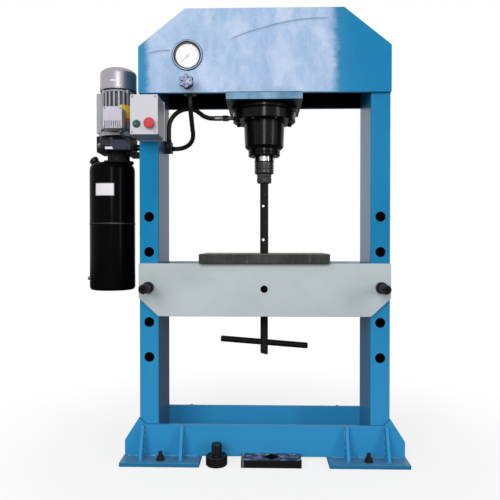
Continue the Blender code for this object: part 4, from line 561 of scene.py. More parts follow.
def cast_metal(name, colour, roughness=0.5, metallic=0.55, grain=210.0, core=None):
    """Silver-grey casting or sprayed sheet, with a fine grain. core is an axis and the grooves' radius, for
    painted shade in the grooves.
    """
    look = Look(name, roughness, metallic, 0.4)
    cloud = look.noise(12.0, 4.0).step(0.3, 0.7)
    dirt = look.noise(38.0, 5.0, rough=0.65).step(0.56, 0.78)
    metal = look.mix(cloud * 0.35, colour, shade(colour, 0.78))
    metal = look.mix(dirt * 0.25, metal, shade(colour, 0.35))
    if core is not None:
        across, depth, _ = look.axes()
        across, depth = across - core[0].x, depth - core[0].y
        reach = look.reach(across, depth)
        # Painted shade: the grooves between the fins are darkened.
        metal = look.mix(reach.step(core[1] + 0.0065, core[1] + 0.0015) * 0.85, metal, (0.030, 0.030, 0.040))
    look.base(metal)
    look.rough(roughness + look.noise(50.0) * 0.12)
    look.bump(look.noise(grain, 3.0), 0.0004, 0.45)
    return look


def moulded(name, colour, roughness=0.42, sides=1.0):
    """Moulded plastic: an even colour, a fine texture, faint handling marks. sides is the share of its colour
    left on its flanks, as painted shade.
    """
    look = Look(name, roughness, 0.0, 0.3)
    marks = look.noise(26.0, 5.0, rough=0.65).step(0.58, 0.80)
    cloud = look.noise(8.0, 3.0)
    base = look.mix(cloud * 0.3, colour, shade(colour, 0.88))
    base = look.mix(marks * 0.18, base, shade(colour, 0.55))
    if sides < 1.0:
        _, deep, _ = look.facing()
        # Painted shade: the flanks are darkened.
        base = look.mix(deep.size().step(0.75, 0.25), base, shade(colour, sides))
    look.base(base)
    look.rough(roughness + marks * 0.15)
    look.bump(look.noise(520.0, 2.0), 0.00012, 0.5)
    return look


def wheel_metal(name):
    """The blue-grey knob: pale worn faces, painted shade on its sides and in its recesses."""
    look = Look(name, 0.40, 0.20, 0.35)
    cloud = look.noise(45.0, 4.0).step(0.36, 0.66)
    worn = look.mix(cloud, (0.200, 0.240, 0.400), (0.520, 0.560, 0.760))
    # Painted shade: faces that do not look to the front are near black.
    look.base(look.mix(look.front(0.55, 0.95), (0.012, 0.018, 0.040), worn))
    look.bump(look.noise(300.0), 0.0002, 0.4)
    return look


def rubber(name):
    look = Look(name, 0.45, 0.0, 0.3)
    dust = look.noise(60.0, 4.0).step(0.5, 0.8)
    look.base(look.mix(dust * 0.5, (0.006, 0.006, 0.006), (0.022, 0.022, 0.021)))
    look.rough(0.42 + dust * 0.2)
    look.bump(look.noise(500.0, 2.0), 0.0002, 0.5)
    return look


def printed(name, colour, roughness=0.35):
    """A plain printed or enamelled surface."""
    look = Look(name, roughness, 0.0, 0.3)
    age = look.noise(40.0, 4.0).step(0.5, 0.8)
    look.base(look.mix(age * 0.12, colour, shade(colour, 0.8)))
    look.bump(look.noise(700.0), 0.00005, 0.3)
    return look


def gauge_rim(name, middle, radius):
    """Pale blue enamel, with painted shade in dark rings round its outside and at its opening."""
    look = printed(name, (0.330, 0.440, 0.640))
    across, _, height = look.axes()
    reach = look.reach(across - middle.x, height - middle.z)
    pale = look.mix(look.noise(22.0, 3.0).step(0.35, 0.65), (0.210, 0.330, 0.500), (0.440, 0.560, 0.760))
    # Painted shade: dark rings at the rim's outside and at its opening.
    edge = reach.step(radius - 0.0034, radius - 0.0020)
    edge = edge.larger(reach.step(radius - 0.0062, radius - 0.0070))
    look.base(look.mix(edge, pale, (0.010, 0.026, 0.050)))
    return look


def scratched_block(name, left, painted_highlight_at):
    """Blue-black V-block steel, with bright scuffs along its notched faces and a painted highlight line."""
    look = Look(name, 0.40, 0.5, 0.4)
    across, _, _ = look.axes()
    top = look.facing()[2].step(0.5, 0.9)
    scuff = look.noise(46.0, 6.0, (1.0, 2.2, 1), 0.7).step(0.52, 0.60)
    patch = look.noise(9.0, 3.0).step(0.36, 0.54)
    base = look.mix(top, (0.006, 0.006, 0.007), (0.050, 0.056, 0.100))
    # Painted highlight: a bright upright line a set distance from the left end.
    line = (across - (left + painted_highlight_at)).size().step(0.0022, 0.0008)
    bright = (scuff * patch * top).larger(line * 0.75 * look.noise(70.0).step(0.38, 0.5))
    look.base(look.mix(bright, base, (0.60, 0.62, 0.68)))
    look.rough(0.38 + look.noise(60.0) * 0.15)
    look.bump(look.noise(120.0, 4.0), 0.0004, 0.5)
    return look


def clear_glass(name):
    look = Look(name, 0.03, 0.0, 0.5)
    smudge = look.noise(30.0, 4.0).step(0.5, 0.8)
    look.base((0.95, 0.97, 1.0))
    look.set("Alpha", 0.05 + smudge * 0.03)
    return look


# Making pieces.


def eased(points, radius, closed=True, bits=4):
    """An outline, or a profile, with its corners rounded."""
    made = []
    last = len(points) - 1
    for number, point in enumerate(points):
        if not closed and number in (0, last):
            made.append(tuple(point))
            continue
        corner = Vector(point)
        before = Vector(points[number - 1]) - corner
        after = Vector(points[(number + 1) % len(points)]) - corner
        start = corner + before.normalized() * min(radius, before.length * 0.45)
        end = corner + after.normalized() * min(radius, after.length * 0.45)
        for bit in range(bits + 1):
            share = bit / bits
            made.append(tuple(start.lerp(corner, share).lerp(corner.lerp(end, share), share)))
    return made


def rectangle(left, right, low, high, corner=0.0):
    points = [(left, low), (right, low), (right, high), (left, high)]
    return eased(points, corner) if corner else points


CIRCLE_STEPS = 64


def circle(x, y, radius):
    """A hole's outline. It runs the other way round from the outline that it is cut in."""
    turns = [-math.tau * bit / CIRCLE_STEPS for bit in range(CIRCLE_STEPS)]
    return [(x + radius * math.cos(turn), y + radius * math.sin(turn)) for turn in turns]


def rod(radius, low, high):
    """The profile of a plain round bar."""
    return [(0, low), (radius, low), (radius, high), (0, high)]


def raised(place, height):
    return place + Vector((0, 0, height))


def around(axis, reach, count, first=0.0):
    """Places spread round an upright axis, each with its direction."""
    made = []
    for number in range(count):
        angle = math.radians(first) + math.tau * number / count
        direction = Vector((math.cos(angle), math.sin(angle), 0))
        made.append((axis + direction * reach, direction))
    return made


def near(across, up, *steps):
    """Points of an outline, each in millimetres from one corner."""
    return [(across + x / 1000, up + y / 1000) for x, y in steps]


def threads(radius, low, high, pitch=0.0017, depth=0.0009):
    """The profile of a thread's ridges."""
    made = []
    for number in range(round((high - low) / pitch)):
        start = low + number * pitch
        made += [(radius - depth, start), (radius, start + pitch / 2)]
    return made


def stands(direction, place):
    """Turns a shape's own Z to a direction, and moves it to its place."""
    turn = Vector(direction).to_track_quat("Z", "Y").to_matrix().to_4x4()
    return Matrix.Translation(place) @ turn


def smooth(piece, sharp):
    """Shades a piece smooth up to an angle, with its flats kept flat."""
    mesh = piece.data
    mesh.polygons.foreach_set("use_smooth", [True] * len(mesh.polygons))
    mesh.set_sharp_from_angle(angle=math.radians(sharp))
    piece.modifiers.new("flats", "WEIGHTED_NORMAL").keep_sharp = True


def evaluated_mesh(piece):
    bpy.context.view_layer.update()
    shown = piece.evaluated_get(bpy.context.evaluated_depsgraph_get())
    return bpy.data.meshes.new_from_object(shown)


class Piece:
    """One object in the making. Its shapes are gathered in one mesh, in the frame's own metres."""

    def __init__(self, name, look, slot, body="press_frame"):
        self.name = name
        self.look = look
        self.slot = slot
        self.body = body
        self.mesh = bmesh.new()
        self.drill = bmesh.new()

    def turn(self, profile, place, direction=UP, steps=96, ring=False, wave=None, mesh=None):
        """A shape turned about a line through place, from (radius, height) points."""
        mesh = self.mesh if mesh is None else mesh
        stand = stands(direction, place)
        rows = []
        for radius, height in profile:
            if radius < 1e-6:
                rows.append([mesh.verts.new(stand @ Vector((0, 0, height)))])
                continue
            row = []
            for step in range(steps):
                angle = math.tau * step / steps
                reach = radius + (wave(angle, height) if wave else 0)
                row.append(mesh.verts.new(stand @ Vector((reach * math.cos(angle),
                    reach * math.sin(angle), height))))
            rows.append(row)
        if ring:
            rows.append(rows[0])
        for lower, upper in zip(rows, rows[1:]):
            for step in range(steps):
                after = (step + 1) % steps
                corners = [lower[step % len(lower)], lower[after % len(lower)]]
                corners += [upper[after % len(upper)], upper[step % len(upper)]]
                corners = list(dict.fromkeys(corners))
                if len(corners) > 2:
                    mesh.faces.new(corners)
        return self

    def hexagon(self, across, low, high, place, direction=UP, chamfer=0.0012):
        """A nut or a plug's head, by its size across the flats."""
        corner = across / math.sqrt(3)
        profile = [(0, low), (corner - chamfer, low), (corner, low + chamfer / 2)]
        profile += [(corner, high - chamfer / 2), (corner - chamfer, high), (0, high)]
        return self.turn(profile, place, direction, steps=6)

    def block(self, low, high, edge=EDGE, bits=3, stand=None):
        """A block with its edges eased."""
        low, high = Vector(low), Vector(high)
        shape = Matrix.Translation((low + high) / 2) @ Matrix.Diagonal((*(high - low), 1))
        shape = (stand or Matrix.Identity(4)) @ shape
        corners = bmesh.ops.create_cube(self.mesh, size=1, matrix=shape)["verts"]
        edges = list(dict.fromkeys(edge for corner in corners for edge in corner.link_edges))
        bmesh.ops.bevel(self.mesh, geom=corners + edges, offset=edge, segments=bits, profile=0.5,
            affect="EDGES")
        return self

    def plate(self, outline, thickness, place, stand=LYING, edge=EDGE, holes=(), bits=2):
        """A plate with eased edges, from its outline and the outlines of its holes."""
        curve = bpy.data.curves.new(self.name, "CURVE")
        curve.dimensions = "2D"
        curve.fill_mode = "BOTH"
        curve.extrude = thickness / 2 - edge
        curve.bevel_depth = edge
        curve.bevel_resolution = bits
        curve.offset = -edge
        for points in (outline, *holes):
            spline = curve.splines.new("POLY")
            spline.points.add(len(points) - 1)
            for point, (across, up) in zip(spline.points, points):
                point.co = (across, up, 0, 1)
            spline.use_cyclic_u = True
        return self.take(curve, Matrix.Translation(place) @ stand.to_4x4())

    def tube(self, points, radius):
        """A round bar along a bent line."""
        curve = line_curve(self.name, points, radius)
        curve.use_fill_caps = True
        curve.bevel_resolution = 6
        return self.take(curve, Matrix.Identity(4))

    def take(self, curve, stand):
        """Adds the mesh of a curve."""
        holder = bpy.data.objects.new(self.name, curve)
        SCENE.collection.objects.link(holder)
        mesh = evaluated_mesh(holder)
        mesh.transform(stand)
        known = len(self.mesh.verts)
        self.mesh.from_mesh(mesh)
        self.mesh.verts.ensure_lookup_table()
        bmesh.ops.remove_doubles(self.mesh, verts=self.mesh.verts[known:], dist=1e-6)
        bpy.data.objects.remove(holder)
        bpy.data.curves.remove(curve)
        bpy.data.meshes.remove(mesh)
        return self

    def bore(self, radius, start, end, steps=48):
        """A round hole from start to end. They are all drilled when the piece is done."""
        start, end = Vector(start), Vector(end)
        length = (end - start).length
        return self.turn(rod(radius, 0, length), start, end - start, steps, mesh=self.drill)

    def bead(self, start, end, radius=0.0032, pitch=0.0052):
        """A run of weld, with its ripples."""
        start, end = Vector(start), Vector(end)
        length = (end - start).length
        count = max(2, round(length / pitch))
        profile = [(0, 0)]
        for number in range(2 * count + 1):
            swell = 1.0 if number % 2 else 0.80
            taper = 0.7 if number in (0, 2 * count) else 1.0
            profile.append((radius * swell * taper, length * number / (2 * count)))
        return self.turn(profile + [(0, length)], start, end - start, steps=12)

    def object(self, mesh, name):
        bmesh.ops.recalc_face_normals(mesh, faces=mesh.faces)
        made = bpy.data.meshes.new(name)
        mesh.to_mesh(made)
        mesh.free()
        held = bpy.data.objects.new(name, made)
        SCENE.collection.objects.link(held)
        return held

    def done(self, *nodes, sharp=35):
        """Puts the piece in the scene, drilled, shaded and riding on its body."""
        drilled = len(self.drill.verts) > 0
        drill = self.object(self.drill, self.name + "_drill")
        piece = self.object(self.mesh, self.name)
        if drilled:
            cut = piece.modifiers.new("drill", "BOOLEAN")
            cut.object = drill
            cut.solver = "EXACT"
            cut.use_self = True
            piece.data = evaluated_mesh(piece)
            piece.modifiers.clear()
        bpy.data.objects.remove(drill)
        piece.data.materials.clear()
        piece.data.materials.append(self.look.material)
        smooth(piece, sharp)
        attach(piece, self.body)
        if nodes:
            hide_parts(*nodes)
        return piece


def dress(look, *nodes, edge=0.0008):
    """Gives nodes that keep their own shape a finish, and eases their edges."""
    for name in nodes:
        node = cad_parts[name]
        for held in node.material_slots:
            held.material = look.material
        node.modifiers.new("joined", "WELD").merge_threshold = 1e-5
        ease = node.modifiers.new("edges", "BEVEL")
        ease.width = edge
        ease.segments = 2
        ease.limit_method = "ANGLE"
        ease.angle_limit = math.radians(40)
        node.modifiers.new("flats", "WEIGHTED_NORMAL")


# Hoses and cable. The routes are those of the frame, from the ram's axis.

HOSE_DIAMETER = 0.019
CABLE_DIAMETER = 0.008
ROUTE_STEPS = 5

HOSE_TO_CYLINDER = (
    (-0.4055, 0.0350, 1.3063), (-0.4055, 0.0350, 1.3280), (-0.4055, 0.0350, 1.3500),
    (-0.4007, 0.0347, 1.3774), (-0.3868, 0.0338, 1.4014), (-0.3655, 0.0312, 1.4193),
    (-0.3394, 0.0262, 1.4288), (-0.3116, 0.0195, 1.4288), (-0.2879, 0.0132, 1.4206),
    (-0.2695, 0.0083, 1.4072), (-0.2535, 0.0044, 1.3951), (-0.2342, 0.0012, 1.3871),
    (-0.2150, 0.0000, 1.3844), (-0.2083, 0.0000, 1.3844),
)
HOSE_TO_VALVE = (
    (-0.3784, 0.0500, 1.2660), (-0.3710, 0.0500, 1.2660), (-0.3437, 0.0460, 1.2705),
    (-0.3197, 0.0347, 1.2813), (-0.3036, 0.0177, 1.2983), (-0.2980, -0.0023, 1.3183),
    (-0.2980, -0.0200, 1.3360), (-0.2980, -0.0378, 1.3538), (-0.2980, -0.0556, 1.3716),
    (-0.2980, -0.0733, 1.3893), (-0.2980, -0.0893, 1.4133), (-0.2980, -0.0950, 1.4440),
    (-0.2980, -0.0950, 1.4597),
)
MOTOR_CABLE = (
    (-0.5720, -0.1250, 1.3157), (-0.5720, -0.1250, 1.3125), (-0.5699, -0.1262, 1.3003),
    (-0.5639, -0.1297, 1.2899), (-0.5549, -0.1349, 1.2829), (-0.5443, -0.1410, 1.2805),
    (-0.5362, -0.1457, 1.2805), (-0.5285, -0.1489, 1.2805), (-0.5202, -0.1500, 1.2805),
    (-0.5120, -0.1500, 1.2805), (-0.5033, -0.1500, 1.2805),
)


def line_curve(name, points, radius):
    curve = bpy.data.curves.new(name, "CURVE")
    curve.dimensions = "3D"
    curve.bevel_depth = radius
    spline = curve.splines.new("POLY")
    spline.points.add(len(points) - 1)
    for point, place in zip(spline.points, points):
        point.co = (*place, 1)
    return curve


def curve_point(before, start, end, after, share):
    """A point of the centripetal curve from start to end."""
    t0 = 0.0
    t1 = t0 + math.sqrt((start - before).length)
    t2 = t1 + math.sqrt((end - start).length)
    t3 = t2 + math.sqrt((after - end).length)
    t = t1 + (t2 - t1) * share
    first = before.lerp(start, (t - t0) / (t1 - t0))
    second = start.lerp(end, (t - t1) / (t2 - t1))
    third = end.lerp(after, (t - t2) / (t3 - t2))
    first = first.lerp(second, (t - t0) / (t2 - t0))
    third = second.lerp(third, (t - t1) / (t3 - t1))
    return first.lerp(third, (t - t1) / (t2 - t1))


def smooth_route(route):
    """The route's points with more between them. Its two ends stay straight."""
    points = [at(*point) for point in route]
    made = [points[0]]
    for number in range(1, len(points) - 2):
        near = points[number - 1 : number + 3]
        made += [curve_point(*near, step / ROUTE_STEPS) for step in range(ROUTE_STEPS)]
    return made + points[-2:]


def make_cord(name, look, route, diameter):
    points = smooth_route(route)
    length = sum((b - a).length for a, b in zip(points, points[1:]))
    curve = line_curve(name + "_run", points, diameter / 2)
    curve.use_fill_caps = True
    curve.bevel_resolution = 8
    curve.materials.append(look.material)
    for spline in curve.splines:
        spline.use_smooth = True
    run = bpy.data.objects.new(name + "_run", curve)
    SCENE.collection.objects.link(run)
    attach(run, "press_frame")
    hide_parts(name)


HOSE_RUBBER = rubber("hose_rubber")
make_cord("hose_to_cylinder", HOSE_RUBBER, HOSE_TO_CYLINDER, HOSE_DIAMETER)
make_cord("hose_to_valve", HOSE_RUBBER, HOSE_TO_VALVE, HOSE_DIAMETER)
make_cord("motor_cable", HOSE_RUBBER, MOTOR_CABLE, CABLE_DIAMETER)


# Welded frame.

POST_WALL = 0.008
POST_CORNER = 0.007
PIN_HOLE_RADIUS = 0.020
LOWEST_HOLE = 0.407
HOLE_PITCH = 0.140
HOLE_COUNT = 5
SHOULDER_RUN = 0.185
SHOULDER_DROP = 0.148
COVER_PLATE = 0.012
FOOT_PLATE = 0.016
RIB_PLATE = 0.012
RIB_REACH = 0.060
RIB_NOSE = 0.010
RIB_PLACES = (0.325, 0.481)
EAR_LOW = 0.079
EAR_HIGH = 0.168
BEAM_TOP = 0.141
ANCHOR_CORNERS = ("front_left", "front_right", "back_left", "back_right")
ANCHOR_HOLE = 0.010

WELD_PAINT = weld_paint("weld_paint")


def make_post(node, look):
    """A box section with rounded corners and its row of pin holes."""
    post = Span(node)
    outer = rectangle(post.left, post.right, post.front, post.back, POST_CORNER)
    inner = rectangle(post.left + POST_WALL, post.right - POST_WALL, post.front + POST_WALL,
        post.back - POST_WALL)
    piece = Piece(node + "_section", look, "frame_paint")
    piece.plate(outer, post.size.z, (0, 0, post.middle.z), edge=0.0006, holes=[inner[::-1]])
    for number in range(HOLE_COUNT):
        height = LOWEST_HOLE + number * HOLE_PITCH
        start = (post.middle.x, post.front - 0.02, height)
        end = (post.middle.x, post.back + 0.02, height)
        piece.bore(PIN_HOLE_RADIUS, start, end)
    piece.done(node)


def crosshead_outline(plate):
    return [
        (plate.left, plate.bottom), (plate.right, plate.bottom),
        (plate.right, plate.top - SHOULDER_DROP), (plate.right - SHOULDER_RUN, plate.top),
        (plate.left + SHOULDER_RUN, plate.top), (plate.left, plate.top - SHOULDER_DROP),
    ]


def make_sheet(node, outline, look, slot="frame_paint", edge=0.0015, holes=()):
    """A plate that stands across the press, with its corners and edges eased."""
    plate = Span(node)
    piece = Piece(node + "_sheet", look, slot)
    place = (0, plate.middle.y, 0)
    piece.plate(eased(outline, 0.003, bits=2), plate.size.y, place, FACING_FRONT, edge, holes)
    piece.done(node)


def make_crosshead_cover(look):
    """The bent strip over the top, with the run of weld down each edge."""
    cover = Span("crosshead_top_cover")
    outer = crosshead_outline(cover)
    slope = math.atan(SHOULDER_DROP / SHOULDER_RUN)
    drop = COVER_PLATE / math.cos(slope)
    pull = COVER_PLATE * math.tan(slope / 2)
    bend = SHOULDER_RUN + pull
    shoulder = cover.top - SHOULDER_DROP
    outline = [
        (cover.left, shoulder), (cover.left, shoulder - drop),
        (cover.left + bend, cover.top - COVER_PLATE), (cover.right - bend, cover.top - COVER_PLATE),
        (cover.right, shoulder - drop), (cover.right, shoulder),
        (cover.right - SHOULDER_RUN, cover.top), (cover.left + SHOULDER_RUN, cover.top),
    ]
    piece = Piece("crosshead_top_strip", look, "frame_paint")
    piece.plate(outline, cover.size.y, (0, cover.middle.y, 0), FACING_FRONT, 0.0010)
    piece.done("crosshead_top_cover")
    beads = Piece("crosshead_top_welds", WELD_PAINT, "frame_paint")
    run = outer[2:]
    for side in (cover.front, cover.back):
        for start, end in zip(run, run[1:]):
            beads.bead((start[0], side, start[1] - 0.0012), (end[0], side, end[1] - 0.0012), 0.0028)
    beads.done()


def make_mount_plate():
    plate = Span("cylinder_mount_plate")
    barrel = Span("cylinder_gland")
    bore = circle(barrel.middle.x, barrel.middle.y, BARREL_RADIUS + CLEAR * 2)
    outline = rectangle(plate.left, plate.right, plate.front, plate.back, 0.002)
    piece = Piece("cylinder_mount_slab", MOUNT_PAINT, "frame_paint")
    piece.plate(outline, plate.size.z, (0, 0, plate.middle.z), LYING, 0.0015, [bore])
    piece.done("cylinder_mount_plate")


def make_beam(node, look):
    beam = Span(node)
    post = Span("post_left")
    right = Span("post_right")
    third = post.size.x / 3
    outline = [
        (beam.left, beam.bottom), (beam.right, beam.bottom), (beam.right, EAR_LOW),
        (right.right, EAR_HIGH), (right.right - third, BEAM_TOP), (post.left + third, BEAM_TOP),
        (post.left, EAR_HIGH), (beam.left, EAR_LOW),
    ]
    make_sheet(node, outline, look, edge=0.0014)


def make_foot(node, side):
    """A floor plate with its four ribs, and the welds that hold the ribs and the beam."""
    foot = Span(node)
    front = Span("base_front_beam").front
    back = Span("base_back_beam").back
    piece = Piece(node + "_plates", FOOT_PAINT, "frame_paint")
    outline = rectangle(foot.left, foot.right, foot.front, foot.back, 0.002)
    bolts = [Span("anchor_bolt_" + corner) for corner in ANCHOR_CORNERS]
    under = [bolt for bolt in bolts if foot.left < bolt.middle.x < foot.right]
    holes = [circle(bolt.middle.x, bolt.middle.y, ANCHOR_HOLE) for bolt in under]
    piece.plate(outline, FOOT_PLATE, (0, 0, FOOT_PLATE / 2), LYING, 0.0014, holes)
    beads = Piece(node + "_welds", WELD_PAINT, "frame_paint")
    top = FOOT_PLATE + 0.0006
    for wall, outward in ((front, -1), (back, 1)):
        near = wall + outward * CLEAR
        far = near + outward * RIB_REACH
        rib = [
            (near, FOOT_PLATE - 0.001), (far, FOOT_PLATE - 0.001), (far, FOOT_PLATE + RIB_NOSE),
            (near + outward * RIB_NOSE, BEAM_TOP), (near, BEAM_TOP),
        ]
        rib = rib if outward > 0 else rib[::-1]
        for place in RIB_PLACES:
            x = AXIS.x + side * place
            piece.plate(eased(rib, 0.002, bits=2), RIB_PLATE, (x, 0, 0), FACING_SIDE, 0.0012)
            for flank in (-1, 1):
                edge = x + flank * RIB_PLATE / 2
                beads.bead((edge, near + outward * 0.004, top), (edge, far - outward * 0.003, top))
                beads.bead((edge, near, FOOT_PLATE + 0.01), (edge, near, BEAM_TOP - 0.006))
        stops = sorted([foot.left + 0.004,
            foot.right - 0.004] + [AXIS.x + side * place for place in RIB_PLACES])
        for start, end in zip(stops, stops[1:]):
            beads.bead((start + 0.008, near, top), (end - 0.008, near, top), 0.0042, 0.0064)
    piece.done(node)
    beads.done()


def make_anchor_bolt(node):
    """A threaded stud with its nut and washer."""
    bolt = Span(node)
    place = (bolt.middle.x, bolt.middle.y, 0)
    top = bolt.top
    nut_low = FOOT_PLATE + 0.0033
    nut_high = nut_low + 0.013
    piece = Piece(node + "_stud", BOLT_STEEL, "dark_steel")
    ridges = threads(0.008, nut_high - 0.002, top - 0.0015)
    piece.turn([(0, bolt.bottom), (0.0075, bolt.bottom), *ridges, (0.0068, top), (0, top)], place, steps=32)
    piece.hexagon(0.024, nut_low, nut_high, place)
    washer = eased(rectangle(0.0085, 0.017, FOOT_PLATE + 0.0003, nut_low), 0.0006)
    piece.turn(washer, place, steps=48, ring=True)
    piece.done(node)


# Bed.

BOLSTER_CUT_RUN = 0.078
BOLSTER_CUT_RISE = 0.073
BOLSTER_BORE = 0.0145
BOLSTER_BORE_HEIGHT = 0.680
PIN_HEIGHT = LOWEST_HOLE + 2 * HOLE_PITCH


def make_bolster_plate(node):
    plate = Span(node)
    outline = [
        (plate.left + BOLSTER_CUT_RUN, plate.bottom), (plate.right - BOLSTER_CUT_RUN, plate.bottom),
        (plate.right, plate.bottom + BOLSTER_CUT_RISE), (plate.right, plate.top),
        (plate.left, plate.top), (plate.left, plate.bottom + BOLSTER_CUT_RISE),
    ]
    holes = [circle(Span(post).middle.x, PIN_HEIGHT, PIN_HOLE_RADIUS) for post in ("post_left", "post_right")]
    holes.append(circle(AXIS.x, BOLSTER_BORE_HEIGHT, BOLSTER_BORE))
    make_sheet(node, outline, BOLSTER_PAINT, "bolster_paint", 0.0016, holes)


TORCH_STEP = 0.004


def wandering(points, amount):
    """An outline whose sides wander a little, as a torch cuts them."""
    made = []
    for start, end in zip(points, points[1:] + points[:1]):
        start, end = Vector(start), Vector(end)
        along = end - start
        outward = Vector((along.y, -along.x)).normalized()
        count = max(1, round(along.length / TORCH_STEP))
        for number in range(count):
            run = number * TORCH_STEP + start.x * 3 + start.y * 5
            drift = math.sin(run * 190) + 0.6 * math.sin(run * 431 + 1) + 0.5 * math.sin(run * 77 + 2)
            made.append(tuple(start + along * number / count - outward * amount * (1 + drift / 2.1)))
    return made


def make_table():
    """The loose table: a thick torch-cut plate with a hole for the rod."""
    table = Span("table_plate")
    outline = rectangle(table.left, table.right, table.front, table.back, 0.003)
    piece = Piece("table_slab", TABLE_STEEL, "dark_steel", "table_plate")
    hole = circle(AXIS.x, AXIS.y, 0.030)
    piece.plate(wandering(outline, 0.0005), table.size.z, (0, 0, table.middle.z), LYING, 0.0016, [hole])
    piece.done("table_plate")


def make_pin(node):
    """A bolster pin: a collar, and a long knurled grip with a centre hole."""
    pin = Span(node)
    place = (pin.middle.x, AXIS.y, PIN_HEIGHT)
    grip = AXIS.y - pin.front
    tail = AXIS.y - pin.back
    collar = AXIS.y - Span("bolster_front_plate").front + 0.0003
    shank = 0.0178
    rim = 0.0225
    neck = collar + 0.023
    waist = grip - 0.014
    profile = [
        *near(0, grip, (0, -10), (4.5, -10), (4.5, 0)),
        *near(shank, grip, (-3, 0), (-0.8, -1.8), (0, -4)),
        *near(shank, waist, (0, 3), (-1.8, 1.5), (-1.8, -1.5), (0, -3)),
        *near(shank, neck, (0, 6), (-1.6, 4), (-1.6, 0)), (rim - 0.0016, neck), (rim, neck - 0.0016),
        *near(rim, collar, (0, 1.2), (-1.2, 0)), (shank, collar), *near(shank, tail, (0, 2), (-2, 0)),
        (0, tail),
    ]

    def ribs(angle, height):
        gripped = neck + 0.005 < height < grip - 0.003
        collared = collar < height < neck
        return 0.00045 * math.cos(36 * angle) if gripped or collared else 0.0

    look = knurled_steel(node + "_knurl", Vector(place), (0.016, 0.016, 0.017), deep=True)
    Piece(node + "_bar", look, "black_oxide", node).turn(profile, place, FRONT, 216, wave=ribs).done(node)


# Cylinder, ram and rod.

BARREL_RADIUS = 0.084
BARREL_END_RADIUS = 0.0805
BORE_RADIUS = 0.064
GROOVE_RADIUS = 0.125
COLLAR_RADIUS = 0.130
FLANGE_DEPTH = 0.015
GROOVE_DEPTH = 0.005
COLLAR_DEPTH = 0.038


def make_barrel():
    """The flanged barrel, with the fillets of its casting and the screws under its flange."""
    barrel = Span("cylinder_barrel")
    flange_radius = barrel.size.y / 2
    flange_top = Span("cylinder_mount_plate").bottom - 0.0003
    flange_low = flange_top - FLANGE_DEPTH
    collar_top = flange_low - GROOVE_DEPTH
    collar_low = collar_top - COLLAR_DEPTH
    low = barrel.bottom
    chamfer = 0.010
    outside = [
        (0, barrel.top), (BARREL_RADIUS, barrel.top), (BARREL_RADIUS, flange_top),
        (flange_radius, flange_top), (flange_radius, flange_low), (GROOVE_RADIUS, flange_low),
        (GROOVE_RADIUS, collar_top), (COLLAR_RADIUS, collar_top), (COLLAR_RADIUS, collar_low),
        (BARREL_RADIUS + 0.001, collar_low), (BARREL_END_RADIUS, low + chamfer),
        (BARREL_END_RADIUS - chamfer, low), (BORE_RADIUS, low), (BORE_RADIUS, low + 0.060),
        (0, low + 0.060),
    ]
    piece = Piece("cylinder_casting", CYLINDER_GLOSS, "cylinder_paint")
    piece.turn(eased(outside, 0.0022, closed=False, bits=5), AXIS, steps=160)
    piece.done("cylinder_barrel")
    screws = Piece("cylinder_screws", CYLINDER_GLOSS, "cylinder_paint")
    for place, _ in around(AXIS, COLLAR_RADIUS - 0.013, 8, 22.5):
        socket_screw(screws, raised(place, collar_low + 0.0004), DOWN, 0.0085, 0.008)
    screws.done()


def face_corners(span, inset):
    """The four corners of a piece's front face, as X and Z."""
    sides = (span.left + inset, span.right - inset)
    return [(x, z) for x in sides for z in (span.bottom + inset, span.top - inset)]


def socket_screw(piece, place, direction, radius, height):
    """A cap screw's head with its socket."""
    profile = [
        (0, height * 0.4), (radius * 0.52, height * 0.45), (radius * 0.52, height - 0.0004),
        (radius * 0.58, height), *near(radius, height, (-0.8, 0), (0, -0.8)), (radius, 0), (0, 0),
    ]
    return piece.turn(profile, place, direction, 36)


def make_gland():
    gland = Span("cylinder_gland")
    radius = 0.0663
    inner = 0.0428
    profile = [
        (inner, gland.top), (BORE_RADIUS - 0.0003, gland.top),
        (BORE_RADIUS - 0.0003, Span("cylinder_barrel").bottom - 0.0003),
        (radius, Span("cylinder_barrel").bottom - 0.0003),
        *near(radius, gland.bottom, (0, 16), (-1.5, 14.5), (-1.5, 12), (0, 10.5), (0, 4), (-4, 0)),
        *near(inner, gland.bottom, (4, 0), (0, 3)),
    ]
    piece = Piece("cylinder_gland_ring", CYLINDER_GLOSS, "cylinder_paint")
    piece.turn(eased(profile, 0.0008, bits=3), AXIS, steps=144, ring=True)
    piece.done("cylinder_gland")


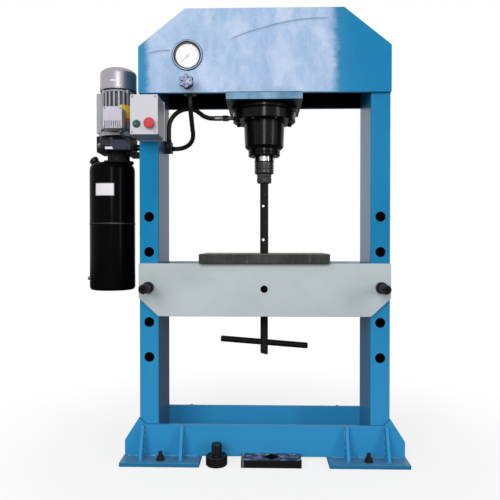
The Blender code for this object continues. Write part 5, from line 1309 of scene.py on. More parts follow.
def make_ram():
    """The chromed ram, the blackened collar on its end and the knurled nut."""
    ram = Span("piston_ram")
    collar = Span("ram_collar")
    nut = Span("rod_nut")
    radius = 0.042
    shown = Piece("piston_ram_bar", CHROME, "chrome", "ram")
    top = ram.top - 0.040
    profile = [(0, ram.top), (0.062, ram.top), (0.062, top), (radius, top - 0.002)]
    profile += [*near(radius, ram.bottom, (0, 1.5), (-1.5, 0)), (0, ram.bottom)]
    shown.turn(profile, AXIS, steps=128)
    shown.done("piston_ram")
    reach = collar.size.x / 2
    profile = [
        (0, collar.top), *near(reach, collar.top, (-2, 0), (0, -2)),
        *near(reach, collar.bottom, (0, 20), (-1.2, 19), (-1.2, 17), (0, 16), (0, 3), (-3, 0)),
        *near(0, collar.bottom, (24, 0), (24, 10), (0, 10)),
    ]
    piece = Piece("ram_collar_ring", COLLAR_STEEL, "black_oxide", "ram")
    piece.turn(eased(profile, 0.0006, closed=False, bits=2), AXIS, steps=128)
    for side in (-1, 1):
        reach_at = reach - 0.0015
        angle = math.radians(-90 + side * 52)
        direction = (math.cos(angle), math.sin(angle), 0)
        place = AXIS + Vector(direction) * reach_at + Vector((0, 0, collar.middle.z + 0.006))
        piece.turn([(0, 0.0008), (0.003, 0.001), (0.003, 0.0022), (0.0045, 0.0022), (0.0045, 0)], place,
            direction, 24)
    piece.done("ram_collar")
    reach = nut.size.x / 2
    profile = [
        (0.018, nut.top),
        *near(reach, nut.top, (-2, 0), (0, -2), (0, -12), (-2, -13.5), (-2, -15.5), (0, -17)),
        *near(reach, nut.bottom, (0, 4), (-3, 0)), (0.018, nut.bottom),
    ]
    bands = (nut.bottom + 0.0035, nut.top - 0.0165)

    def ribs(angle, height):
        return 0.0004 * math.cos(48 * angle) if bands[0] < height < bands[1] else 0.0

    piece = Piece("rod_nut_ring", NUT_STEEL, "dark_steel", "ram")
    piece.turn(profile, AXIS, steps=288, ring=True, wave=ribs)
    piece.done("rod_nut")


ROD_RADIUS = 0.0172
ROD_TAIL_RADIUS = 0.0157
ROD_STEP = 0.640
ROD_SLANT = math.radians(13)
CROSS_HOLE_SIDE = -0.004
CROSS_HOLES = (1.0175, 0.8765)
BAR_RADIUS = 0.0125
BAR_HEIGHT = 0.4475
BAR_TILT = math.radians(4.5)


def make_rod():
    """The lifting rod, drilled twice across, with the bore of its bar and a sawn end."""
    rod = Span("lifting_rod")
    top = rod.top
    profile = [
        *near(0, top, (0, 0), (21.5, 0), (22.5, -1), (22.5, -12)), (ROD_RADIUS, top - 0.012),
        (ROD_RADIUS, ROD_STEP + 0.001), (ROD_TAIL_RADIUS, ROD_STEP - 0.001),
        (ROD_TAIL_RADIUS, rod.bottom), (0, rod.bottom),
    ]
    piece = Piece("lifting_rod_bar", ROD_STEEL, "dark_steel", "lifting_rod")
    piece.turn(profile, AXIS, steps=64)
    tilt = math.tan(ROD_SLANT)
    for corner in piece.mesh.verts:
        if corner.co.z < rod.bottom + 0.0001:
            corner.co.z += (ROD_TAIL_RADIUS - (corner.co.x - AXIS.x)) * tilt
    for height in CROSS_HOLES:
        piece.bore(0.0055, at(CROSS_HOLE_SIDE, -0.04, height), at(CROSS_HOLE_SIDE, 0.04, height), 32)
    piece.bore(0.0142, at(-0.04, 0, BAR_HEIGHT), at(0.04, 0, BAR_HEIGHT), 40)
    piece.done("lifting_rod")


def make_bar():
    bar = Span("lifting_bar")
    direction = Vector((math.cos(BAR_TILT), 0, -math.sin(BAR_TILT)))
    half = 0.1825
    radius = BAR_RADIUS
    profile = [(0, -half), *near(radius, -half, (-3, 0), (-0.6, 1.2), (0, 3))]
    profile += [(reach, -height) for reach, height in profile[::-1]]
    piece = Piece("lifting_bar_bar", BAR_STEEL, "black_oxide", "lifting_bar")
    piece.turn(profile, bar.middle, direction, 56)
    piece.done("lifting_bar")


def crimped(piece, place, direction, radius, length):
    """A hose end: a sleeve pressed in rings on the hose."""
    profile = [(0, 0), (radius - 0.0012, 0), (radius, 0.0012)]
    bands = 4
    for number in range(bands):
        start = length * (number + 0.5) / (bands + 0.5)
        profile += [(radius, start), (radius - 0.0010, start + 0.0010)]
        profile += [(radius - 0.0010, start + 0.0035), (radius, start + 0.0045)]
    profile += [*near(radius, length, (0, -1), (-1, 0)), (0, length)]
    return piece.turn(profile, place, direction, 48)


def make_port_fitting():
    """Nipple, nut and crimped end of the hose at the cylinder's port."""
    fitting = Span("cylinder_port_fitting")
    place = Vector((fitting.left, fitting.middle.y, fitting.middle.z))
    length = 0.036
    piece = Piece("cylinder_hose_end", SLEEVE_STEEL, "zinc")
    crimped(piece, place, RIGHT, 0.0108, length)
    piece.done("cylinder_port_fitting")
    nut = Piece("cylinder_hose_nut", HOSE_END, "zinc")
    nut.hexagon(0.0225, length + 0.0002, length + 0.020, place, RIGHT)
    nut.turn(rod(0.0079, length, fitting.size.x), place, RIGHT, 40)
    shoulder = rod(0.0105, length + 0.02, length + 0.026)
    nut.turn(shoulder, place, RIGHT, 40)
    nut.done()


# Gauge and release valve.

GAUGE_HOLE = 0.0568
VALVE_HOLE = 0.0148


def make_gauge():
    """The panel gauge: blue rim, black well as painted shade, white dial with its scale."""
    case = Span("gauge_case")
    place = Vector((case.middle.x, AXIS.y, 0))
    glass = Span("gauge_glass")
    place.z = glass.middle.z
    front = AXIS.y - case.front
    back = front - 0.006
    floor = front - 0.012
    rim = case.size.x / 2
    opening = glass.size.x / 2 + 0.0003
    ring = [
        (opening, floor - 0.003), *near(opening, front, (0, -2.2), (1.2, -1), (2.2, 0)),
        (rim - 0.0022, front), (rim, front - 0.0022), (rim, back), (0.056, back),
        *near(0, AXIS.y - case.back, (56, 0), (3, 0)), (0.003, floor - 0.003),
    ]
    body = Piece("gauge_case_ring", GAUGE_RIM, "gauge_paint")
    body.turn(eased(ring, 0.0006, bits=2), place, FRONT, 128, ring=True)
    stem_low = Span("valve_body").top + 0.0003
    stem_at = Vector((place.x, case.back - 0.010, stem_low))
    body.turn(rod(0.007, 0, 0.040), stem_at, UP, 40)
    body.done("gauge_case")
    # Painted shade: the well round the dial is near black.
    well = Piece("gauge_well", WELL_SHADE, "black_plastic")
    lip = opening - 0.0003
    well.turn([
        (lip, floor), *near(lip, front, (0, -3), (-1.2, -3)), (lip - 0.0012, floor),
    ], place, FRONT, 96, ring=True)
    well.turn(rod(lip, floor - 0.0025, floor - 0.0016), place, FRONT, 96)
    well.done()
    dial = Piece("gauge_dial", DIAL_WHITE, "pale_plastic")
    face = lip - 0.0058
    dial.turn([(0, floor - 0.0014), (face, floor - 0.0014), (face, floor - 0.0003), (0, floor)], place,
        FRONT, 96)
    dial.done()
    marks = Piece("gauge_scale", DIAL_MARKS, "slate_plastic")
    for number in range(51):
        turn = math.radians(225 - 270 * number / 50)
        long = number % 5 == 0
        inner, outer = (0.0380 if long else 0.0405), 0.0435
        width = 0.00042 if long else 0.00022
        stand = Matrix.Translation(place) @ Matrix.Rotation(-turn, 4, "Y")
        marks.block((inner, -floor - 0.0001, -width), (outer, -floor + 0.0003, width), 0.00005, 1, stand)
    for number in range(6):
        turn = math.radians(225 - 54 * number)
        spot = place + Vector((0.0315 * math.cos(turn), -floor - 0.00005, 0.0315 * math.sin(turn)))
        figure(marks, str(number * 10), spot, 0.0075)
    marks.done()


def figure(piece, text, place, height):
    """A plain number, raised a hair from the dial."""
    words = bpy.data.curves.new(piece.name, "FONT")
    words.body = text
    words.size = height
    words.extrude = 0.0001
    words.align_x = "CENTER"
    words.align_y = "CENTER"
    piece.take(words, Matrix.Translation(place) @ FACING_FRONT.to_4x4())


def make_handwheel():
    """A six-lobed knob on its spindle, dished and drilled, with the nut that holds it."""
    wheel = Span("valve_handwheel")
    place = Vector((wheel.middle.x, AXIS.y, wheel.middle.z))
    front = AXIS.y - wheel.front
    back = front - 0.022
    radius = 0.0265
    lobes = 6
    rim = [
        (0.0200, front - 0.0010), *near(radius, front, (-6, 0), (-3, 0), (-0.8, -2), (0, -5.5)),
        *near(radius, back, (0, 5), (-1, 2), (-4, 0)), (0.0200, back),
    ]

    def lobe(angle, height):
        return 0.0026 * math.cos(lobes * (angle - math.pi / 2))

    piece = Piece("valve_wheel", WHEEL_METAL, "slate_plastic", "valve_handwheel")
    piece.turn(rim, place, FRONT, 192, wave=lobe)
    piece.turn([
        *near(0, front, (0, -1.2), (22.5, -1)), *near(0, back, (22.5, 1), (0, 1)),
    ], place, FRONT, 96)
    for number in range(lobes):
        angle = math.tau * (number + 0.5) / lobes
        spot = place + Vector((0.0145 * math.sin(angle), 0, 0.0145 * math.cos(angle)))
        piece.bore(0.0031, spot + Vector((0, -front - 0.01, 0)), spot + Vector((0, -front + 0.012, 0)), 24)
    nut = near(0, back, (0, 2), (11.5, 2), (12.5, -4), (12.5, -9), (0, -9))
    piece.turn(nut, place, FRONT, 48)
    tail = AXIS.y - wheel.back
    piece.turn(rod(0.005, back, tail), place, FRONT, 32)
    piece.done("valve_handwheel")
    hub = Piece("valve_wheel_screw", WHEEL_METAL, "slate_plastic", "valve_handwheel")
    hub.hexagon(0.0100, front - 0.0015, front + 0.0001, place, FRONT, 0.0006)
    hub.done()


def make_valve_body():
    """The valve's block behind the plate, and the gland nut round its spindle in front."""
    body = Span("valve_body")
    place = Vector((body.middle.x, AXIS.y, body.middle.z))
    nose = AXIS.y - body.front
    piece = Piece("valve_body_block", VALVE_STEEL, "dark_steel")
    low = (body.left, body.front + 0.0286, body.bottom)
    piece.block(low, (body.right, body.back, body.top), 0.0015)
    piece.turn(near(
        0, nose, (5.8, -45), (13.8, -45), (13.8, -1.2), (12.6, 0), (5.8, 0)
    ), place, FRONT, 64, ring=True)
    piece.done("valve_body")


# Control box.

BOX_CORNER = 0.006


def make_control_box():
    """The two-button box: a base, a deep lid with screws at its corners, and the cable's gland."""
    base = Span("control_box_base")
    lid = Span("control_box_lid")
    bezel = 0.003
    face = lid.front + bezel
    outline = rectangle(base.left, base.right, base.bottom, base.top, BOX_CORNER)
    back = Piece("control_box_back", BOX_SHADE, "pale_plastic")
    back.plate(outline, base.size.y, (0, base.middle.y, 0), FACING_FRONT, 0.0012)
    for z in (base.bottom + 0.016, base.top - 0.016):
        for x in (base.left + 0.001, base.right - 0.001):
            tab = (x - 0.0016, base.middle.y - 0.010, z - 0.009)
            back.block(tab, (x + 0.0016, base.middle.y + 0.010, z + 0.009), 0.0008, 2)
    back.done("control_box_base")
    flare = 0.0022
    border = rectangle(base.left - flare, base.right + flare, base.bottom - flare, base.top + flare,
        BOX_CORNER)
    rim = Piece("control_box_rim", BOX_PLASTIC, "pale_plastic")
    rim.plate(border, 0.0070, (0, base.back - 0.0042, 0), FACING_FRONT, 0.0012)
    rim.done()
    piece = Piece("control_box_front", BOX_LID, "pale_plastic")
    depth = lid.back - face
    piece.plate(outline, depth, (0, face + depth / 2, 0), FACING_FRONT, 0.0026, bits=4)
    buttons = [Span("start_button"), Span("stop_button")]
    for button in buttons:
        start = (button.middle.x, lid.front - 0.01, button.middle.z)
        piece.bore(0.0113, start, (button.middle.x, face + 0.02, button.middle.z))
    corners = face_corners(lid, 0.0095)
    for x, z in corners:
        piece.bore(0.0044, (x, face - 0.01, z), (x, face + 0.004, z), 32)
    piece.done("control_box_lid")
    screws = Piece("control_box_screws", SCREW_STEEL, "zinc")
    for x, z in corners:
        screws.turn([(0, 0.0022), (0.0036, 0.0018), (0.0036, 0), (0, 0)], (x, face + 0.0036, z), FRONT, 32)
        screws.block((x - 0.0030, face + 0.0010, z - 0.0004), (x + 0.0030, face + 0.0016, z + 0.0004),
            0.0001, 1)
    screws.done()
    rings = Piece("control_box_bezels", BEZEL_PLASTIC, "slate_plastic")
    for button in buttons:
        place = (button.middle.x, 0, button.middle.z)
        low, high = -face, -lid.front
        ring = [
            *near(0, low, (11.4, -4), (15, 0.4)),
            *near(0, high, (15, -1), (14, 0), (12.4, 0), (11.4, -1)),
        ]
        rings.turn(ring, place, FRONT, 72, ring=True)
    rings.done()
    seam = Piece("control_box_seal", HOSE_RUBBER, "rubber")
    inner = rectangle(base.left + 0.0012, base.right - 0.0012, base.bottom + 0.0012, base.top - 0.0012,
        BOX_CORNER)
    seam.plate(inner, 0.0012, (0, lid.back - 0.0002, 0), FACING_FRONT, 0.0003)
    seam.done()
    gland = Piece("control_box_gland", BEZEL_PLASTIC, "slate_plastic")
    cable_gland(gland, at(*MOTOR_CABLE[-1]) + Vector((0.0012, 0, 0)), LEFT, 0.0072)
    gland.done()


def cable_gland(piece, place, direction, radius):
    """A ribbed nut and a tapered nose round a cable."""
    piece.hexagon(radius * 1.9, 0, 0.004, place, direction, 0.0006)

    def ribs(angle, height):
        return 0.0003 * math.cos(18 * angle) if height < 0.0115 else 0.0

    nose = [(radius * 0.92, 0.004), (radius * 0.92, 0.010), (radius * 0.80, 0.013), (0.0046, 0.016),
        (0.0042, 0.016)]
    nose += [(0.0042, 0.004)]
    return piece.turn(nose, place, direction, 108, ring=True, wave=ribs)


def make_buttons():
    start = Span("start_button")
    place = Vector((start.middle.x, start.front, start.middle.z))
    radius = start.size.x / 2
    profile = [(0, -0.0012), (radius * 0.6, -0.0008), (radius - 0.0022, 0), (radius - 0.0008, 0),
        (radius, -0.0010)]
    profile += [(radius, -start.size.y), (0, -start.size.y)]
    piece = Piece("start_button_cap", START_GREEN, "green_plastic", "start_button")
    piece.turn(profile, place, FRONT, 72).done("start_button")
    stop = Span("stop_button")
    place = Vector((stop.middle.x, stop.front, stop.middle.z))
    radius = stop.size.x / 2
    crown = 0.0055
    profile = [(0, 0)]
    for number in range(1, 9):
        angle = math.radians(90) * number / 8
        profile.append((radius - 0.0075 + 0.0075 * math.sin(angle), -crown + crown * math.cos(angle)))
    profile += [(radius, -0.0115), (radius - 0.0006, -0.0130), (radius - 0.002, -0.0138), (0.0105, -0.0138)]
    profile += [(0.0105, -stop.size.y), (0, -stop.size.y)]
    piece = Piece("stop_button_head", STOP_RED, "red_plastic", "stop_button")
    piece.turn(profile, place, FRONT, 96).done("stop_button")


# Power pack.

MOTOR_CORE = 0.0655
MANIFOLD_LOW = 1.236
SOLENOID_SPLIT = -0.620
TANK_RADIUS = 0.0935
TANK_SHOULDER = 1.196
TANK_SEAM = 0.943
FILLER_TILT = math.radians(43)
FILLER_FOOT = (-0.6930, 0, 1.1840)
TERMINAL_GLAND = (-0.572, -0.125, 1.3180)
PIPE_PLACES = ((0.022, 1.260), (0.048, 1.278))
HOSE_NUT = 0.0185  # across its flats


def make_motor():
    """The finned motor on its flange, with its end shields and its mounting pad."""
    motor = Span("motor_frame")
    flange = 0.080
    core = MOTOR_CORE
    fin = 0.0745
    low = motor.bottom
    high = motor.top
    fins = 24
    fin_steps = [(core, -0.27), (fin - 0.0008, -0.20), (fin, -0.16)]
    fin_steps += [(reach, -share) for reach, share in fin_steps[::-1]]
    outline = []
    for number in range(fins):
        middle = math.tau * number / fins
        for reach, share in fin_steps:
            angle = middle + share * math.tau / fins
            outline.append((PACK.x + reach * math.cos(angle), PACK.y + reach * math.sin(angle)))
    piece = Piece("motor_housing", MOTOR_CASTING, "motor_casting")
    fin_low = low + 0.030
    fin_high = high - 0.013
    piece.plate(outline, fin_high - fin_low, (0, 0, (fin_low + fin_high) / 2), LYING, 0.0008)
    flange_profile = [
        (0, low), *near(flange, low, (-1, 0), (0, 1), (0, 11), (-2, 13)),
        *near(core, low, (3, 20), (3, 29), (0, 30)), (0, low + 0.030),
    ]
    piece.turn(flange_profile, PACK, steps=128)
    shield = [(0, fin_high), *near(core, fin_high, (4, 0), (6, 2))]
    piece.turn(shield + [(core + 0.006, high), (0, high)], PACK, steps=128)
    for spot, _ in around(PACK, flange - 0.009, 4, 45):
        piece.hexagon(0.011, 0, 0.007, raised(spot, low + 0.012))
    ear = [(0, 0), (0.0065, 0), (0.0075, 0.002), (0.0075, 0.014), (0, 0.014)]
    for spot, _ in around(PACK, core + 0.003, 4, 45):
        piece.turn(ear, raised(spot, fin_high - 0.004), UP, 40)
    wrapped_patch("motor_patch", PATCH_YELLOW, PACK, fin, (-72, -38), (1.3755, 1.428), 0.0005)
    wrapped_patch("motor_patch_low", PATCH_ORANGE, PACK, fin, (-72, -38), (1.361, 1.3750), 0.0005)
    pad = (motor.left, PACK.y - 0.040, low + 0.014)
    piece.block(pad, (PACK.x - core + 0.003, PACK.y + 0.040, high - 0.014), 0.002)
    piece.done("motor_frame")


def make_cowl():
    """The pressed fan cowl, with its grille of holes and its screws."""
    cowl = Span("motor_fan_cowl")
    radius = cowl.size.x / 2
    side_top = cowl.top - 0.029
    outer = near(radius, cowl.bottom, (0.2, 0), (0.2, 4), (-0.6, 6))
    outer += [(radius - 0.0006, side_top - 0.006)]
    steps = 12
    for number in range(steps + 1):
        angle = math.radians(90) * number / steps
        outer.append(((radius - 0.0006) * math.cos(angle) ** 0.72, side_top + 0.029 * math.sin(angle)))
    outer[-1] = (0, cowl.top)
    inner = [(max(0, reach - 0.0015), height - (0.0015 if reach < radius - 0.01 else 0)) for reach,
        height in outer]
    profile = outer[::-1] + inner
    gap = Piece("motor_cowl_gap", COIL_BLACK, "black_plastic")
    band = [(radius - 0.010, cowl.bottom - 0.006), (radius - 0.0022, cowl.bottom - 0.006)]
    gap.turn(band + [(radius - 0.0022, cowl.bottom), (radius - 0.010, cowl.bottom)], PACK, steps=96,
        ring=True)
    gap.done()
    piece = Piece("motor_cowl_shell", COWL_METAL, "cowl_paint")
    piece.turn(profile, PACK, steps=128)
    for ring, count in ((0.012, 6), (0.024, 12), (0.036, 18), (0.048, 26)):
        for spot, _ in around(PACK, ring, count):
            piece.bore(0.0030, raised(spot, side_top + 0.010), raised(spot, cowl.top + 0.01), 12)
    piece.done("motor_fan_cowl")
    screws = Piece("motor_cowl_screws", SCREW_STEEL, "zinc")
    head = [(0, 0.0022), (0.0026, 0.0018), (0.0036, 0.0004), (0.0036, 0), (0, 0)]
    for spot, direction in around(PACK, radius - 0.0004, 4, -62):
        screws.turn(head, raised(spot, cowl.bottom + 0.009), direction, 28)
    screws.done()
    heights = (cowl.bottom + 0.027, cowl.bottom + 0.034)
    wrapped_patch("motor_cowl_patch", PATCH_WHITE, PACK, radius - 0.0003, (-102, -78), heights, 0.0004)


def wrapped_patch(name, look, axis, radius, degrees, heights, thick, steps=16):
    """A thin patch wrapped on an upright round body."""
    piece = Piece(name, look, "pale_plastic")
    outside, inside = [], []
    for number in range(steps + 1):
        angle = math.radians(degrees[0] + (degrees[1] - degrees[0]) * number / steps)
        outside.append((axis.x + (radius + thick) * math.cos(angle),
            axis.y + (radius + thick) * math.sin(angle)))
        inside.append((axis.x + radius * math.cos(angle), axis.y + radius * math.sin(angle)))
    outline = outside + inside[::-1]
    height = heights[1] - heights[0]
    piece.plate(outline, height, (0, 0, heights[0] + height / 2), LYING, 0.0001, bits=1)
    piece.done()


def make_terminal_box():
    """The motor's terminal box, its lid with four screws, and the cable's gland."""
    box = Span("motor_terminal_box")
    piece = Piece("motor_terminal_body", TERMINAL_METAL, "motor_casting")
    front = box.front
    lid_back = front + 0.016
    outline = rectangle(box.left, box.right, box.bottom, box.top, 0.005)
    depth = box.back - 0.006 - lid_back
    body = rectangle(box.left + 0.002, box.right - 0.002, box.bottom + 0.002, box.top - 0.002, 0.005)
    piece.plate(body, depth, (0, lid_back + depth / 2, 0), FACING_FRONT, 0.001)
    piece.block((PACK.x - 0.036, box.back - 0.010, box.middle.z - 0.034),
        (PACK.x + 0.036, PACK.y - 0.066, box.middle.z + 0.034), 0.002)
    piece.done("motor_terminal_box")
    lid = Piece("motor_terminal_lid", LID_METAL, "motor_casting")
    lid.plate(outline, 0.0155, (0, front + 0.0080, 0), FACING_FRONT, 0.0022, bits=4)
    ribs = 7
    for number in range(ribs):
        x = box.left + box.size.x * (number + 1.5) / (ribs + 2)
        lid.block((x - 0.0016, front - 0.0001, box.bottom + 0.014),
            (x + 0.0016, front + 0.004, box.top - 0.014), 0.0008, 2)
    lid.done()
    grooves = Piece("motor_terminal_grooves", COIL_BLACK, "black_plastic")
    for number in range(ribs + 1):
        x = box.left + box.size.x * (number + 1.0) / (ribs + 2)
        foot = box.bottom + 0.002 + 0.003 * (number % 2)
        grooves.block((x - 0.0014, front - 0.0002, foot),
            (x + 0.0014, front + 0.002, box.bottom + 0.030), 0.0003, 1)
    grooves.done()
    screws = Piece("motor_terminal_screws", SCREW_STEEL, "zinc")
    for x, z in face_corners(box, 0.0075):
        socket_screw(screws, Vector((x, front + 0.0012, z)), FRONT, 0.0036, 0.0026)
    screws.done()
    patch = Piece("motor_terminal_patch", PATCH_YELLOW, "pale_plastic")
    low = (box.right - 0.0022, lid_back + 0.004, box.bottom + 0.012)
    patch.block(low, (box.right - 0.0012, box.back - 0.016, box.top - 0.016), 0.0002, 1)
    patch.done()
    gland = Piece("motor_cable_gland", BEZEL_PLASTIC, "slate_plastic")
    cable_gland(gland, at(*TERMINAL_GLAND), DOWN, 0.0072)
    gland.done()


def make_manifold():
    """The pump block and its neck, with hexagon plugs in its drilled ways."""
    manifold = Span("pump_manifold")
    half = 0.055
    low = MANIFOLD_LOW
    piece = Piece("pump_manifold_block", MANIFOLD_BLACK, "black_oxide")
    top = manifold.top
    piece.block((manifold.left, PACK.y - half, low), (manifold.right, PACK.y + half, top), 0.0022)
    neck = [
        *near(0, manifold.bottom, (0, 0), (44, 0), (46, 3)), *near(0, low, (46, -6), (50, 1), (0, 1)),
    ]
    piece.turn(neck, PACK, steps=96)
    piece.turn(eased(rectangle(0.046, 0.062, manifold.bottom, manifold.bottom + 0.008), 0.001), PACK,
        steps=96, ring=True)
    for spot, _ in around(PACK, 0.055, 6, 15):
        socket_screw(piece, raised(spot, manifold.bottom + 0.008), UP, 0.0042, 0.0048)
    piece.done("pump_manifold")
    plugs = Piece("pump_manifold_plugs", DARK_STEEL, "dark_steel")
    face = PACK.y - half
    for x, z in ((manifold.left + 0.018, top - 0.012), (manifold.right - 0.016, top - 0.012),
        (manifold.left + 0.060, top - 0.011)):
        plugs.hexagon(0.012, 0, 0.006, (x, face, z), FRONT, 0.0008)
        plugs.turn(rod(0.0082, 0, 0.0012), (x, face, z), FRONT, 32)
    for z in (low + 0.018, top - 0.018):
        plugs.hexagon(0.014, 0, 0.007, (manifold.left, PACK.y + 0.018, z), LEFT, 0.0008)
    plugs.done()


def make_solenoid():
    """The valve's coil, its nut, the block it is screwed in and the plug of its lead."""
    valve = Span("solenoid_valve")
    split = AXIS.x + SOLENOID_SPLIT
    radius = 0.0215
    coil_at = Vector((split, valve.middle.y, valve.middle.z))
    length = split - valve.left
    coil = Piece("solenoid_coil", COIL_BLACK, "black_plastic")
    profile = [
        (0, -0.001), (radius - 0.002, -0.001), (radius, 0.003),
        *near(radius, length, (0, -20), (-3, -17)), *near(0, length, (13, -16), (13, -12), (0, -12)),
    ]
    coil.turn(profile, coil_at, LEFT, 80)
    coil.block((split - 0.034, valve.middle.y - 0.012, valve.middle.z),
        (split - 0.006, valve.middle.y + 0.012, valve.top + 0.001), 0.002)
    coil.done()
    nut = Piece("solenoid_nut", SCREW_STEEL, "zinc")
    nut.hexagon(0.019, length - 0.013, length - 0.004, coil_at, LEFT)
    nut.turn([(0, 0), *near(0, length, (5.5, -4), (4.5, 0), (0, 0))], coil_at, LEFT, 32)
    nut.done()
    block = Piece("solenoid_valve_block", SOLENOID_STEEL, "slate_plastic")
    block.block((split, valve.front + 0.001, valve.bottom + 0.001),
        (valve.right, valve.back, valve.top - 0.001), 0.0018)
    for x in (split + 0.014, valve.right - 0.014):
        for z in (valve.bottom + 0.009, valve.top - 0.009):
            socket_screw(block, Vector((x, valve.front + 0.001, z)), FRONT, 0.0040, 0.0030)
    block.done("solenoid_valve")
    patch = Piece("solenoid_patch", PATCH_WHITE, "pale_plastic")
    low = (split - 0.020, valve.front + 0.0004, valve.bottom + 0.003)
    patch.block(low, (split + 0.014, valve.front + 0.0012, valve.bottom + 0.013), 0.0002, 1)
    patch.done()


def make_tank():
    """The tall oil tank: rolled shell, welded ends and a weld round its middle."""
    tank = Span("oil_tank")
    radius = TANK_RADIUS
    seam = TANK_SEAM
    bottom = tank.bottom
    top = TANK_SHOULDER
    wall = 0.003
    profile = [
        (0, bottom + 0.003), *near(radius, bottom, (-30, 3), (-14, 0), (-6, 2), (-1.5, 8), (0, 16)),
        *near(radius, seam, (0, -4), (0.6, -3), (1.3, -1.2), (1.3, 1.2), (0.6, 3), (0, 4)),
        *near(radius, top, (0, -30), (-2, -18), (-7, -8), (-15, -2), (-24, 0)), (0.043, top),
        (0.043, top - wall), (radius - 0.024, top - wall), (radius - wall, top - 0.030),
        (radius - wall, bottom + 0.018), (0, bottom + 0.008),
    ]
    piece = Piece("oil_tank_shell", TANK_GLOSS, "tank_paint")
    piece.turn(profile, TANK, steps=160)
    slope = Vector((-math.sin(FILLER_TILT), 0, math.cos(FILLER_TILT)))
    foot = at(*FILLER_FOOT)
    neck = [(0.0112, -0.004), (0.0185, -0.004), (0.0170, 0.004), (0.0150, 0.006), (0.0150, 0.0275),
        (0.0112, 0.0275)]
    piece.turn(neck, foot, slope, 64, ring=True)
    piece.done("oil_tank")
    across = (-120, -71)
    wrapped_patch("oil_tank_patch", PATCH_GREY, TANK, radius + 0.0002, across, (1.055, 1.106), 0.0004, 24)
    across = (-118.2, -72.8)
    heights = (1.0575, 1.1035)
    wrapped_patch("oil_tank_patch_face", PATCH_WHITE, TANK, radius + 0.0006, across, heights, 0.0003, 24)
    height = 0.018
    low = 0.0278

    def grips(angle, height):
        return 0.0007 * math.cos(16 * angle) if height > low + 0.001 else 0.0

    profile = near(0, low, (0, 0), (18.5, 0), (19, 1), (19, 12.5), (16.5, 14.5), (15.5, 14.8))
    piece = Piece("filler_cap_dome", CAP_BLACK, "black_plastic", "filler_cap")
    piece.turn(profile + near(
        0, low + height, (14, -1), (12.5, 0), (0, 0)
    ), foot, slope, 144, wave=grips)
    piece.turn(rod(0.0105, low - 0.010, low + 0.001), foot, slope, 40)
    piece.done("filler_cap")


def make_drain_plug():
    plug = Span("drain_plug")
    place = Vector((plug.right, plug.middle.y, plug.middle.z))
    piece = Piece("drain_plug_head", SCREW_STEEL, "zinc")
    length = plug.size.x
    piece.turn([
        (0, 0), (0.0058, 0), *near(0, length, (5.8, -11), (9.8, -11), (9.8, -9), (0, -9)),
    ], place, LEFT, 36)
    piece.hexagon(0.016, length - 0.009, length, place, LEFT, 0.0010)
    piece.done("drain_plug")


def make_hose_block():
    """The outlet block on the post, with the two pipes to the pump and the hoses' nipples."""
    left = Span("post_left").right + 0.0003
    low = (left, AXIS.y + 0.008, 1.246)
    high = (left + 0.027, AXIS.y + 0.062, 1.292)
    piece = Piece("hose_block_body", MANIFOLD_BLACK, "black_oxide")
    piece.block(low, high, 0.0015)
    manifold = Span("pump_manifold")
    for y, z in PIPE_PLACES:
        run = [(manifold.right + 0.0003, AXIS.y + y, z), (left + 0.002, AXIS.y + y, z)]
        piece.tube(run, 0.0065)
    piece.done("hose_block")
    ends = Piece("hose_block_ends", MANIFOLD_BLACK, "black_oxide")
    riser = at(*HOSE_TO_CYLINDER[0][:2], high[2])
    branch = Vector((high[0], *at(*HOSE_TO_VALVE[0]).yz))
    for place, direction, reach in ((riser, UP, 0.0141), (branch, RIGHT, 0.0139)):
        ends.hexagon(HOSE_NUT, 0, 0.011, place, direction)
        ends.turn([(0, 0), (0.009, 0.010), (0.009, reach), (0, reach)], place, direction, 40)
    ends.done()


# Loose tools.


def make_pressing_head():
    """A round pressing head, standing on its face with its threaded shank up."""
    head = Span("pressing_head")
    place = Vector((head.middle.x, head.middle.y, 0))
    radius = head.size.x / 2
    disc = head.bottom + 0.038
    shank = 0.020
    profile = [
        (0, head.bottom), *near(radius, head.bottom, (-3, 0), (0, 3)),
        *near(radius, disc, (0, -3), (-3, 0)), *near(shank, disc, (1, 0), (-1.5, 2), (-1.5, 6)),
    ]
    profile += threads(shank, disc + 0.007, head.top - 0.003, 0.0025, 0.0013)
    profile += [
        *near(shank, head.top, (-1.5, -2), (-3, 0)), *near(0, head.top, (4.5, 0), (4.5, -8), (0, -10)),
    ]
    piece = Piece("pressing_head_bar", HEAD_STEEL, "black_oxide", "pressing_head")
    piece.turn(profile, place, steps=112)
    piece.done("pressing_head")


def make_v_block(node):
    block = Span(node)
    middle = AXIS.x + 0.029
    half = 0.0325
    depth = 0.030
    sill = 0.003
    back = node.endswith("back")
    wall = block.back if back else block.front
    mouth = block.front if back else block.back
    inward = 1 if mouth > wall else -1
    notch = [(middle - half, mouth), (middle, mouth - inward * depth), (middle + half, mouth)]
    outline = [(block.left, wall), (block.right, wall),
        (block.right, mouth)] + notch[::-1] + [(block.left, mouth)]
    if back:
        outline = outline[::-1]
    piece = Piece(node + "_body", V_BLOCK_STEEL, "black_oxide", node)
    piece.plate(eased(outline, sill / 3, bits=2), block.size.z, (0, 0, block.middle.z), LYING, 0.0012)
    piece.done(node)


# Finishes in use.

